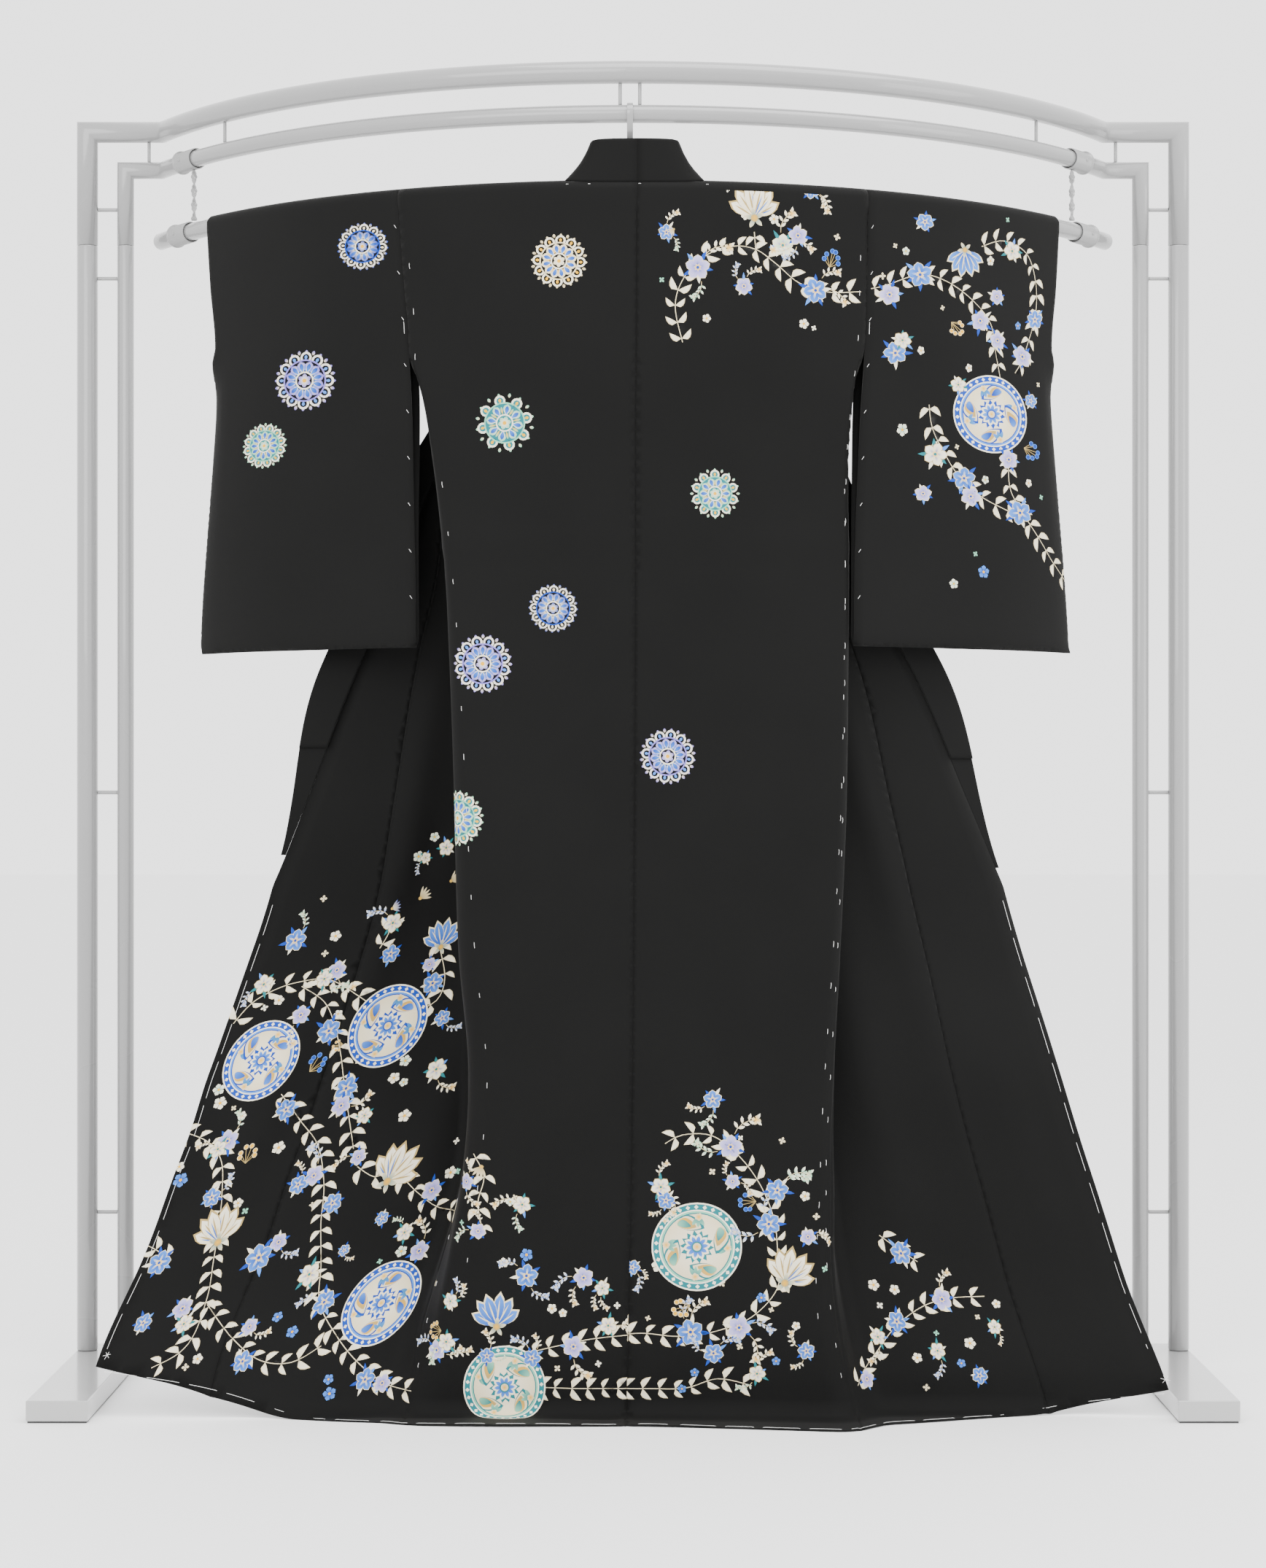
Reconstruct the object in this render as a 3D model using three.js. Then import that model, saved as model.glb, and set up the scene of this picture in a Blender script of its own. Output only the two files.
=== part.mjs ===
// Homongi kimono hung by its sleeves on a bowed pole of a two-rail display stand, its back to the
// visitor and both fronts spread out sideways. Millimetres, +Z up, -Y faces the visitor, floor at z = 0.
import * as THREE from 'three';

// Stand: driving dimensions
const BOW_RADIUS = 802; // plan radius of the rails and of the pole
const BOW_HALF_CHORD = 679; // half the straight distance between the two ends of a rail's bow
const UPPER_RAIL = { radius: 15, height: 1786, post: 787 };
const LOWER_RAIL = { radius: 12, height: 1731, post: 732 };
const POLE = { radius: 12, height: 1629, reach: 815 };
const POST_JOINT = 1622; // height of the sleeve joint that lets the posts come apart
const PLATE = { width: 82, length: 440, height: 30, side: 761, front: -10 };
const RUNG = { radius: 2.75, heights: [1674, 1575, 834, 229] };
const SPACER = { radius: 2.5, places: [-571, -17, 9, 563], straights: [-698, 696] };
const HOOK = { width: 8, thick: 2, place: -4 };
const LINK = { place: 622, chainWidth: 7, chainThick: 3, turns: 1.75, clipLength: 44 };
const GAP = 0.3;

// Garment: driving dimensions
const WALL = 1.6; // cloth, with its lining, is built as one wall
const COLLAR_WALL = 2.4;
const SHOULDER = 318; // centre seam to sleeve seam
const NECK_HALF = 90;
const FRONT_TOP = SHOULDER - NECK_HALF - 11; // front panel at the shoulder, sleeve seam to collar seam
const FRONT = 265; // front panel below the tip of the overlap panel
const OVERLAP_HEM = 163;
const COLLAR = 55;
const COLLAR_END = 705; // height where the collar runs out on the front edge
const OVERLAP_TIP = 1400; // height of the overlap panel's pointed top
const SLIT_TOP = 1440; // end of the sleeve seam
const SLIT_FOOT = 1270; // start of the side seam
const OVER_COLLAR_END = 860; // height where the second, covering collar stops
const FOLD_LENGTH = Math.PI * (POLE.radius + 1.2 + WALL / 2); // cloth used by one half turn round the pole
const CREASE_LENGTH = 30; // cloth used by the crease of the front pleat
const FLOOR_BEND = 18; // radius where hanging cloth meets the floor
const FLOOR_CLEAR = 0.6;
const CLOTH_RADIUS = FOLD_LENGTH / Math.PI;

// A table has named columns and a row for each height; a value between rows follows a smooth curve.
const table = (columns, rows) => ({ columns, rows });

// Plan section of each half of the body, row by row from the pole to the floor.
// seam: centre seam to side seam. past, turn: how far past that seam the cloth turns back behind itself,
// and by how many degrees. pleat: cloth from that fold to the crease that turns it outward again. crease: its degrees.
// swing: degrees by which the outer layer leans to the rear. bow: plan curvature per metre.
const LEFT_SECTIONS = table(['height', 'seam', 'past', 'turn', 'pleat', 'crease', 'swing', 'bow'], [
  [1629, 318, 22, 180, 259, 85, 0, 1.247],
  [1570, 314, 22, 180, 254, 130, 0, 1.247],
  [1500, 308, 22, 180, 239, 176, 0, 1.247],
  [1440, 303, 22, 180, 222, 180, 0, 1.247],
  [1380, 304, -5, 178, 200, 178, 0, 1.2],
  [1286, 307, -29, 156, 166, 156, 0, 1.01],
  [1122, 308, -51, 145, 158, 145, -0.7, 0.71],
  [1030, 308, -58, 136, 160, 136, -1.4, 0.41],
  [820, 308, -69, 121, 166, 121, -2.6, 0.09],
  [620, 307, -79, 101, 187, 101, -2.6, -0.18],
  [450, 306, -94, 92, 168, 92, -4, -0.28],
  [330, 305, -84, 90, 120, 90, -4.6, -0.06],
  [180, 304, -61, 74, 88, 74, -4.5, -0.03],
  [60, 303, -39, 36, 61, 36, -6.5, 0.03],
  [0, 303, -14, 12, 44, 12, -9.5, 0.12],
]);
const RIGHT_SECTIONS = table(['height', 'seam', 'past', 'turn', 'pleat', 'crease', 'swing', 'bow'], [
  [1629, 318, 22, 180, 259, 85, 0, 1.247],
  [1570, 318, 22, 180, 254, 130, 0, 1.247],
  [1500, 316, 22, 180, 239, 176, 0, 1.247],
  [1440, 314, 22, 180, 222, 180, 0, 1.247],
  [1380, 308, 3, 179, 200, 179, 0, 1.24],
  [1286, 299, 4, 178, 172, 178, 0.5, 1.26],
  [1122, 296, 7, 173, 146, 173, 0, 1.19],
  [1030, 295, 6, 167, 122, 167, -0.8, 1.1],
  [820, 291, 4, 158, 98, 158, -3, 0.88],
  [620, 284, 0, 143, 79, 143, -2.5, 0.65],
  [450, 274, -2, 128, 69, 128, -3.6, 0.26],
  [330, 268, -1, 107, 62, 107, -1, 0.06],
  [180, 272, -10, 82, 55, 82, 4.2, -0.17],
  [60, 290, -15, 62, 55, 62, 9.1, -0.43],
  [0, 303, -15, 51, 63, 51, 12, -0.47],
]);

// Where the back hangs: its distance behind the bow, and the lean of the centre seam.
const CENTRE_LINE = table(['height', 'behind', 'lean'], [
  [1629, 0, 5], [1440, 0, 4], [1290, 8, 3], [1155, 14, 3], [705, 26, 1], [300, 38, -3], [0, 44, -9],
]);

// Height of the hem over the floor at each mark round the cloth; below zero it is cloth that lies on the
// floor, turned to the visitor. mark: 0 centre seam, 1 side seam, 2 overlap seam, 3 front edge.
const HEM = {
  left: table(['mark', 'rise'], [[0, -52], [1, -50], [2, 28], [3, 68]]),
  right: table(['mark', 'rise'], [[0, -52], [1, -72], [2, 0], [3, 36]]),
};

// Soft ridges down the cloth. place: cloth distance from the centre seam at the ridge's middle height,
// slope: its drift per mm of height, width and stand: half width and height of the ridge.
const RIDGES = {
  left: table(['middle', 'place', 'slope', 'reach', 'width', 'stand'], [
    [760, 548, 0.02, 420, 26, 9], [520, 395, -0.05, 330, 34, 8], [330, 640, 0.1, 300, 30, 7],
    [640, 120, 0.03, 520, 34, 4], [300, 190, -0.08, 320, 30, 6],
  ]),
  right: table(['middle', 'place', 'slope', 'reach', 'width', 'stand'], [
    [760, 520, 0.02, 420, 24, 8], [420, 420, -0.06, 330, 30, 7], [300, 610, 0.1, 280, 28, 6],
    [700, 150, -0.03, 480, 36, 4], [260, 90, 0.06, 300, 28, 5],
  ]),
};

// Sleeve outline: distances along the bow at each height.
const SLEEVES = {
  left: table(['height', 'inner', 'outer'], [
    [1643, 318, 660], [1540, 311, 649], [1452, 304, 637], [1436, 303, 643], [1350, 298, 648],
    [1200, 297, 662], [1060, 296, 676], [1040, 296, 677], [1028, 297, 674],
  ]),
  right: table(['height', 'inner', 'outer'], [
    [1643, 318, 660], [1540, 317, 650], [1452, 315, 639], [1436, 314, 644], [1350, 308, 652],
    [1200, 303, 668], [1060, 302, 684], [1040, 302, 686], [1030, 303, 690],
  ]),
};
const MOUTH_FOOT = 1440; // the sleeve's mouth is open from the pole down to here

// Neck stations of the collar, from the centre back over the shoulder. along: place on the bow,
// round: degrees round the pole. inward, rear, up: the way that the free edge points.
const NECK_STATIONS = table(['along', 'round', 'inward', 'rear', 'up'], [
  [0.3, 64, 0, -0.05, 1], [30, 64, 0.02, -0.03, 1], [58, 65, 0.14, 0, 1], [77, 68, 0.36, 0.06, 0.92],
  [87, 80, 0.6, 0.2, 0.76], [89, 97, 0.62, 0.4, 0.66], [90, 117, 0.5, 0.65, 0.56],
  [90, 140, 0.36, 0.82, 0.44], [90, 163, 0.2, 0.94, 0.28],
]);

// Heights of the cloth's cross rows, measured as if the hem just met the floor.
const ROWS = [
  1629, 1605, 1575, 1545, 1515, 1480, SLIT_TOP, OVERLAP_TIP, 1380, 1330, SLIT_FOOT, 1190, 1110, 1030, 945,
  OVER_COLLAR_END, 780, COLLAR_END, 610, 520, 430, 350, 270, 190, 125, 90, 72, 58, 40, 0,
];
const POLE_ROWS = [30, 60, 90, 120, 150]; // degrees round the pole where the shoulder crosses it
const NECK_ROUND = 60; // the back neckline ends this far round the pole

// Smooth value of one column of a table at a place in its first column.
function read(source, column, at) {
  const c = source.columns.indexOf(column);
  const rows = source.rows;
  const rising = rows[1][0] > rows[0][0] ? 1 : -1;
  let i = 0;
  while (i < rows.length - 2 && rising * (at - rows[i + 1][0]) > 0) i += 1;
  const span = rows[i + 1][0] - rows[i][0];
  const f = THREE.MathUtils.clamp((at - rows[i][0]) / span, 0, 1);
  const rise = (k) => (rows[k + 1][c] - rows[k][c]) / (rows[k + 1][0] - rows[k][0]);
  const slope = (k) => {
    const [before, after] = [rise(Math.max(k - 1, 0)), rise(Math.min(k, rows.length - 2))];
    return before * after > 0 ? (before + after) / 2 : 0;
  };
  const [g, ff] = [1 - f, f * f];
  return (1 + 2 * f) * g * g * rows[i][c] + f * g * g * span * slope(i)
    + ff * (3 - 2 * f) * rows[i + 1][c] - ff * g * span * slope(i + 1);
}

// The lengths and turns of one plan section: out along the back, round the fold, inward, round the
// crease, and out along the outer layer.
function sectionPieces(sections, height) {
  const value = (column) => read(sections, column, height);
  const [turn, crease, swing] = ['turn', 'crease', 'swing'].map((c) => THREE.MathUtils.degToRad(value(c)));
  const first = value('seam') + value('past') - FOLD_LENGTH / 2;
  const second = value('pleat') - FOLD_LENGTH / 2 - CREASE_LENGTH / 2;
  return [[first, 0], [FOLD_LENGTH, turn], [second, 0], [CREASE_LENGTH, swing - crease], [1e6, 0]];
}

// Walks a distance along the pieces. Returns the place (out, rear) and the heading there.
function walk(pieces, distance) {
  let [out, rear, heading, left] = [0, 0, 0, distance];
  for (const [length, turn] of pieces) {
    const step = Math.min(left, length);
    const bend = (turn * step) / length;
    const chord = Math.abs(bend) < 1e-9 ? step : (2 * step * Math.sin(bend / 2)) / bend;
    out += chord * Math.cos(heading + bend / 2);
    rear += chord * Math.sin(heading + bend / 2);
    heading += bend;
    left -= step;
    if (left <= 0) break;
  }
  return { out, rear, heading };
}

// A place given along the bow, behind it, and by height.
function onBow(along, behind, height, curvature = 1 / BOW_RADIUS) {
  const k = Math.abs(curvature) < 1e-6 ? 1e-6 : curvature;
  const radius = 1 / k - behind;
  return new THREE.Vector3(radius * Math.sin(along * k), 1 / k - radius * Math.cos(along * k), height);
}

// One half of the garment. side is -1 for the visitor's left and 1 for the right.
function makeHalf(name, side, sections) {
  // Cloth that isn't there: the side is open at the sleeve seam and at the slit under it.
  const slit = (height) => FOLD_LENGTH * THREE.MathUtils.smoothstep(height, SLIT_FOOT, SLIT_TOP);
  const seam = (height) => read(sections, 'seam', height);
  const frontStart = (height) => seam(height) + slit(height);
  const collarLine = (height) => FRONT_TOP + ((FRONT - FRONT_TOP) / (POLE.height - OVERLAP_TIP))
    * (POLE.height - Math.max(height, COLLAR_END));
  const frontEnd = (height) => frontStart(height) + Math.min(collarLine(height), FRONT);
  const collarSeam = (height) => frontStart(height) + collarLine(height);
  const collarWidth = (height) => 4 + (COLLAR - 3) * THREE.MathUtils.smoothstep(height, COLLAR_END, 1010);
  const overlapEnd = (height) => (height > COLLAR_END ? collarSeam(height)
    : frontEnd(height) + OVERLAP_HEM + (collarLine(COLLAR_END) - FRONT - OVERLAP_HEM) * (height / COLLAR_END));

  // A cloth distance and a hung length below the pole's centre line give a place in space.
  function place(cloth, hung) {
    const lowest = FLOOR_CLEAR + WALL / 2;
    const past = hung - (POLE.height - lowest - FLOOR_BEND);
    const angle = THREE.MathUtils.clamp(past / FLOOR_BEND, 0, Math.PI / 2);
    const flat = Math.max(past - (FLOOR_BEND * Math.PI) / 2, 0);
    const height = past <= 0 ? POLE.height - hung : lowest + FLOOR_BEND * (1 - Math.sin(angle));
    const toe = FLOOR_BEND * (1 - Math.cos(angle)) + flat;
    const at = walk(sectionPieces(sections, height), cloth);
    let stand = 0;
    for (const [middle, spot, slope, reach, width, high] of RIDGES[name].rows) {
      const across = (cloth - spot - slope * (middle - height)) / width;
      const down = (height - middle) / reach;
      stand += high * Math.exp(-across * across) * Math.exp(-down * down * 2);
    }
    const out = at.out + stand * Math.sin(at.heading);
    const rear = at.rear - stand * Math.cos(at.heading) - CLOTH_RADIUS;
    const point = onBow(out, rear, height, read(sections, 'bow', height) / 1000);
    const lean = read(CENTRE_LINE, 'lean', height) * Math.max(0, 1 - cloth / 250) ** 2;
    point.set(side * point.x + lean, point.y + read(CENTRE_LINE, 'behind', height) - toe, point.z);
    return point;
  }

  // A row's hung length where the hem stands at a mark between 0 (centre seam) and 3 (front edge).
  const hungAt = (row, mark) => (POLE.height - row) * (1 - read(HEM[name], 'rise', mark) / POLE.height);
  const heightAt = (row, mark) => Math.max(POLE.height - hungAt(row, mark), 0);
  return {
    name, side, sections, place, hungAt, heightAt, seam, frontStart, frontEnd, collarSeam, collarWidth, overlapEnd,
  };
}

// Cloth distances from one edge to another, crowded where the section turns.
function crowded(half, height, from, to, steps) {
  const pieces = sectionPieces(half.sections, height);
  const measure = (cloth) => {
    let [left, sum] = [cloth, cloth / 70];
    for (const [length, turn] of pieces) {
      sum += (Math.abs(turn) / 0.55) * Math.min(Math.max(left, 0) / length, 1);
      left -= length;
    }
    return sum;
  };
  const [first, last] = [measure(from), measure(to)];
  return Array.from({ length: steps + 1 }, (_, i) => {
    const wanted = first + ((last - first) * i) / steps;
    let [low, high] = [from, to];
    for (let k = 0; k < 24; k += 1) {
      const middle = (low + high) / 2;
      if (measure(middle) < wanted) low = middle;
      else high = middle;
    }
    return (low + high) / 2;
  });
}

// Turns a sheet of faces into one closed wall, half its thickness to each side of the points.
function thicken(points, faces, wall) {
  const normals = points.map(() => new THREE.Vector3());
  const edges = new Set();
  for (const face of faces) {
    const [a, b, c] = [points[face[0]], points[face[1]], points[face[face.length - 1]]];
    const normal = new THREE.Vector3().crossVectors(b.clone().sub(a), c.clone().sub(a));
    face.forEach((corner, i) => {
      normals[corner].add(normal);
      edges.add(`${corner} ${face[(i + 1) % face.length]}`);
    });
  }
  const used = new Map();
  const positions = [];
  const vertex = (corner, way) => {
    const key = `${corner} ${way}`;
    if (!used.has(key)) {
      const moved = points[corner].clone().addScaledVector(normals[corner].clone().normalize(), (way * wall) / 2);
      used.set(key, positions.length / 3);
      positions.push(...moved.toArray());
    }
    return used.get(key);
  };
  const index = [];
  for (const face of faces) {
    for (let i = 1; i < face.length - 1; i += 1) {
      index.push(vertex(face[0], 1), vertex(face[i], 1), vertex(face[i + 1], 1));
      index.push(vertex(face[0], -1), vertex(face[i + 1], -1), vertex(face[i], -1));
    }
    face.forEach((a, i) => {
      const b = face[(i + 1) % face.length];
      if (edges.has(`${b} ${a}`)) return;
      index.push(vertex(b, 1), vertex(a, 1), vertex(a, -1), vertex(b, 1), vertex(a, -1), vertex(b, -1));
    });
  }
  return solid(positions, index);
}

// A closed geometry whose faces point out.
function solid(positions, index) {
  const at = (i) => new THREE.Vector3().fromArray(positions, index[i] * 3);
  let volume = 0;
  for (let i = 0; i < index.length; i += 3) volume += at(i).dot(at(i + 1).cross(at(i + 2)));
  if (volume < 0) for (let i = 0; i < index.length; i += 3) [index[i], index[i + 1]] = [index[i + 1], index[i]];
  const geometry = new THREE.BufferGeometry();
  geometry.setAttribute('position', new THREE.Float32BufferAttribute(positions, 3));
  geometry.setIndex(index);
  geometry.computeVertexNormals();
  return geometry;
}

// The sheet of a grid of points; a null stands for no cloth.
function sheet(grid, wall) {
  const points = [];
  const numbers = grid.map((row) => row.map((point) => (point ? points.push(point) - 1 : -1)));
  const faces = [];
  for (let i = 0; i < grid.length - 1; i += 1) {
    for (let j = 0; j < grid[i].length - 1; j += 1) {
      const face = [numbers[i][j], numbers[i][j + 1], numbers[i + 1][j + 1], numbers[i + 1][j]];
      if (!face.includes(-1)) faces.push(face);
    }
  }
  return thicken(points, faces, wall);
}

// Body panel: one length of cloth from the back hem over the shoulder to the front hem.
const NECK_STEPS = 3;
const BODY_STEPS = 9;

function bodyPanel(half) {
  const backRow = (row) => {
    const edge = half.seam(half.heightAt(row, 1)) - GAP / 2;
    const neck = Array.from({ length: NECK_STEPS }, (_, j) => GAP / 2 + (j * NECK_HALF) / NECK_STEPS);
    const across = [...neck, ...crowded(half, half.heightAt(row, 0.6), NECK_HALF, edge, BODY_STEPS)];
    return across.map((cloth) => half.place(cloth, half.hungAt(row, cloth / edge)));
  };
  const frontRow = (row) => {
    const from = half.frontStart(half.heightAt(row, 1)) + GAP / 2;
    const to = half.frontEnd(half.heightAt(row, 2)) - GAP / 2;
    const across = crowded(half, half.heightAt(row, 1.6), from, to, BODY_STEPS);
    const points = across.map((cloth, i) => half.place(cloth, half.hungAt(row, 1 + i / BODY_STEPS)));
    return [...Array(NECK_STEPS).fill(null), ...points.reverse()];
  };
  const shoulderRow = (degrees) => Array.from({ length: NECK_STEPS + BODY_STEPS + 1 }, (_, j) => {
    if (j < NECK_STEPS && degrees > NECK_ROUND) return null;
    const angle = THREE.MathUtils.degToRad(degrees);
    const along = j < NECK_STEPS ? GAP / 2 + (j * NECK_HALF) / NECK_STEPS
      : NECK_HALF + ((SHOULDER - GAP / 2 - NECK_HALF) * (j - NECK_STEPS)) / BODY_STEPS;
    const point = onBow(along, -CLOTH_RADIUS * Math.cos(angle), POLE.height + CLOTH_RADIUS * Math.sin(angle));
    point.x = half.side * point.x + CENTRE_LINE.rows[0][2] * Math.max(0, 1 - along / 250) ** 2;
    return point;
  });
  const backRows = ROWS.map(backRow).reverse();
  return sheet([...backRows, ...POLE_ROWS.map(shoulderRow), ...ROWS.map(frontRow)], WALL);
}

// Overlap panel: a long narrow wedge beyond the front panel, with its point up at the collar.
function overlapPanel(half) {
  const steps = 4;
  const grid = ROWS.filter((row) => row < OVERLAP_TIP).map((row) => {
    const from = half.frontEnd(half.heightAt(row, 2)) + 3 * GAP;
    const to = half.overlapEnd(half.heightAt(row, 3)) - GAP / 2;
    return Array.from({ length: steps + 1 }, (_, i) => half.place(
      THREE.MathUtils.lerp(from, to, i / steps),
      half.hungAt(row, 2 + i / steps),
    ));
  });
  return sheet(grid, WALL);
}

// Collar strip: stands up at the back neck, turns over the shoulder, and edges the front.
const COLLAR_STEPS = 5;

function collarGrid(half, lastRow) {
  const neck = NECK_STATIONS.rows.map(([along, round, inward, rear, up]) => {
    const angle = THREE.MathUtils.degToRad(round);
    const radius = CLOTH_RADIUS + GAP;
    const foot = onBow(along, -radius * Math.cos(angle), POLE.height + radius * Math.sin(angle));
    const lean = CENTRE_LINE.rows[0][2] * Math.max(0, 1 - along / 250) ** 2;
    foot.x = half.side * foot.x + lean;
    const way = new THREE.Vector3(-half.side * inward, rear, up).normalize();
    return Array.from({ length: COLLAR_STEPS + 1 }, (_, i) => foot.clone()
      .addScaledVector(way, 1 + ((COLLAR - 1) * i) / COLLAR_STEPS));
  });
  const front = ROWS.filter((row) => row < POLE.height - 10 && row >= lastRow).map((row) => {
    const mark = row >= OVERLAP_TIP ? 2 : 3;
    const height = half.heightAt(row, mark);
    const start = half.collarSeam(height) + 5 * GAP;
    return crowded(half, height, start, start + half.collarWidth(height), COLLAR_STEPS)
      .map((cloth) => half.place(cloth, half.hungAt(row, mark)));
  });
  return [...neck, ...front];
}

// Moves every point of a grid along the grid's own normal.
function movedOut(grid, distance) {
  return grid.map((row, i) => row.map((point, j) => {
    const [up, down] = [grid[Math.max(i - 1, 0)][j], grid[Math.min(i + 1, grid.length - 1)][j]];
    const [near, far] = [row[Math.max(j - 1, 0)], row[Math.min(j + 1, row.length - 1)]];
    const normal = new THREE.Vector3().crossVectors(down.clone().sub(up), far.clone().sub(near)).normalize();
    return point.clone().addScaledVector(normal, distance);
  }));
}

// Sleeve: a flat bag hung over the pole, open at the mouth and along the body side.
const SLEEVE_STEPS = 9;

function sleeveBag(panel) {
  const { name, side } = panel;
  const outline = SLEEVES[name];
  const lower = outline.rows.map((row) => row[0]).filter((height) => height < SLIT_TOP - 10);
  const bottom = lower.pop();
  const sewn = ROWS.filter((row) => row >= SLIT_TOP).map((row) => panel.heightAt(row, 1));
  const levels = [...sewn, ...lower];
  const half = (height) => THREE.MathUtils.lerp(4.5, CLOTH_RADIUS, THREE.MathUtils.smoothstep(height, 1080, SLIT_TOP));
  const ring = [
    ...levels.map((height) => [height, -half(height)]).reverse(),
    ...POLE_ROWS.map((degrees) => {
      const angle = THREE.MathUtils.degToRad(degrees);
      return [POLE.height + CLOTH_RADIUS * Math.sin(angle), -CLOTH_RADIUS * Math.cos(angle)];
    }),
    ...levels.map((height) => [height, half(height)]),
    [bottom, 0],
  ];
  const points = [];
  for (const [height, behind] of ring) {
    const inner = (height > SLIT_TOP - 10 ? panel.seam(height) : read(outline, 'inner', height)) + GAP / 2;
    const outer = read(outline, 'outer', height);
    for (let i = 0; i <= SLEEVE_STEPS; i += 1) {
      const f = i / SLEEVE_STEPS;
      const hang = THREE.MathUtils.smoothstep(POLE.height - height, 60, 600);
      const wave = hang * (5 * Math.sin(5.5 * f) - 7 * f * f);
      const point = onBow(THREE.MathUtils.lerp(inner, outer, f), behind + wave, height);
      points.push(point.setX(side * point.x));
    }
  }
  const width = SLEEVE_STEPS + 1;
  const faces = [];
  ring.forEach((_, k) => {
    const next = (k + 1) % ring.length;
    for (let i = 0; i < SLEEVE_STEPS; i += 1) {
      faces.push([k * width + i, k * width + i + 1, next * width + i + 1, next * width + i]);
    }
  });
  // The outer edge is sewn shut below the mouth.
  const last = (k) => k * width + SLEEVE_STEPS;
  const closed = levels.filter((height) => height < MOUTH_FOOT).length;
  const rear = (k) => ring.length - 2 - k;
  faces.push([last(ring.length - 1), last(rear(0)), last(0)]);
  for (let k = 0; k < closed - 1; k += 1) {
    faces.push([last(k), last(rear(k)), last(rear(k + 1)), last(k + 1)]);
  }
  return thicken(points, faces, WALL);
}

// A round bar bent at the given points, with mitred corners and flat ends.
function pipe(path, radius, sides) {
  const way = (i) => path[i + 1].clone().sub(path[i]).normalize();
  let first = way(0);
  let across = new THREE.Vector3().crossVectors(first, Math.abs(first.z) > 0.9
    ? new THREE.Vector3(0, 1, 0) : new THREE.Vector3(0, 0, 1)).normalize();
  const positions = [];
  path.forEach((centre, i) => {
    const into = way(Math.max(i - 1, 0));
    const onward = way(Math.min(i, path.length - 2));
    const plane = into.clone().add(onward).normalize();
    const up = new THREE.Vector3().crossVectors(into, across);
    for (let k = 0; k < sides; k += 1) {
      const angle = (2 * Math.PI * k) / sides;
      const spoke = across.clone().multiplyScalar(radius * Math.cos(angle))
        .addScaledVector(up, radius * Math.sin(angle));
      spoke.addScaledVector(into, -spoke.dot(plane) / into.dot(plane));
      positions.push(...spoke.add(centre).toArray());
    }
    const turn = new THREE.Quaternion().setFromUnitVectors(into, onward);
    across = across.applyQuaternion(turn);
  });
  return capped(positions, path.length, sides);
}

// Joins rings of equally many points into one closed body.
function capped(positions, rings, sides) {
  const index = [];
  for (let r = 0; r < rings - 1; r += 1) {
    for (let k = 0; k < sides; k += 1) {
      const [a, b] = [r * sides + k, r * sides + ((k + 1) % sides)];
      index.push(a, b, b + sides, a, b + sides, a + sides);
    }
  }
  const end = (rings - 1) * sides;
  for (let k = 1; k < sides - 1; k += 1) index.push(0, k + 1, k, end, end + k, end + k + 1);
  return solid(positions, index);
}

const bowAngle = Math.asin(BOW_HALF_CHORD / BOW_RADIUS);
const BOW_DEPTH = BOW_RADIUS * (1 - Math.cos(bowAngle));

// A rail: post stub, corner, straight, bow, straight, corner, post stub.
function rail({ radius, height, post }) {
  const steps = 30;
  const bow = Array.from({ length: steps + 1 }, (_, i) => onBow(
    BOW_RADIUS * bowAngle * ((2 * i) / steps - 1), 0, height,
  ));
  const ends = (x) => [
    new THREE.Vector3(x, BOW_DEPTH, POST_JOINT + GAP), new THREE.Vector3(x, BOW_DEPTH, height),
  ];
  return pipe([...ends(-post), ...bow, ...ends(post).reverse()], radius, 12);
}

function pole() {
  const steps = 36;
  const path = Array.from({ length: steps + 1 }, (_, i) => onBow(
    POLE.reach * ((2 * i) / steps - 1), 0, POLE.height,
  ));
  return pipe(path, POLE.radius, 12);
}

// A straight bar between two points, its ends cut short by a clearance.
function bar(from, to, radius, sides = 8) {
  const way = to.clone().sub(from).normalize();
  return pipe([from.clone().addScaledVector(way, GAP), to.clone().addScaledVector(way, -GAP)], radius, sides);
}

// Flat centre hook: over the lower rail, down inside the neck, and round the rear of the pole.
function hook() {
  const rim = (centre, radius, degrees) => {
    const angle = THREE.MathUtils.degToRad(degrees);
    return [-radius * Math.cos(angle), centre + radius * Math.sin(angle)];
  };
  const railRim = LOWER_RAIL.radius + 2 * GAP + HOOK.thick / 2;
  const poleRim = POLE.radius + 3 * GAP + HOOK.thick / 2;
  const line = [
    ...[150, 125, 100, 75, 50, 25, 0, -25].map((d) => rim(LOWER_RAIL.height, railRim, d)),
    [4, 1700], [6, 1652],
    ...[150, 175, 200, 225, 250, 270].map((d) => rim(POLE.height, poleRim, d)),
  ];
  const middle = onBow(HOOK.place, 0, 0);
  const sideways = new THREE.Vector3(HOOK.width / 2, 0, 0);
  const grid = line.map(([y, z]) => {
    const centre = new THREE.Vector3(middle.x, y + middle.y, z);
    return [centre.clone().sub(sideways), centre.clone().add(sideways)];
  });
  return sheet(grid, HOOK.thick);
}

// Clip that half hides the rail or the pole: a short sleeve with a lip at its outer end.
function clip(inner) {
  const [bore, skin, lip] = [inner + 1.1, inner + 2.8, inner + 4.6];
  const [near, far] = [-LINK.clipLength / 2, LINK.clipLength / 2];
  const profile = [[bore, near], [skin, near], [skin, far - 4], [lip, far - 3], [lip, far], [bore, far], [bore, near]];
  return new THREE.LatheGeometry(profile.map(([x, y]) => new THREE.Vector2(x, y)), 14);
}

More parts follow.
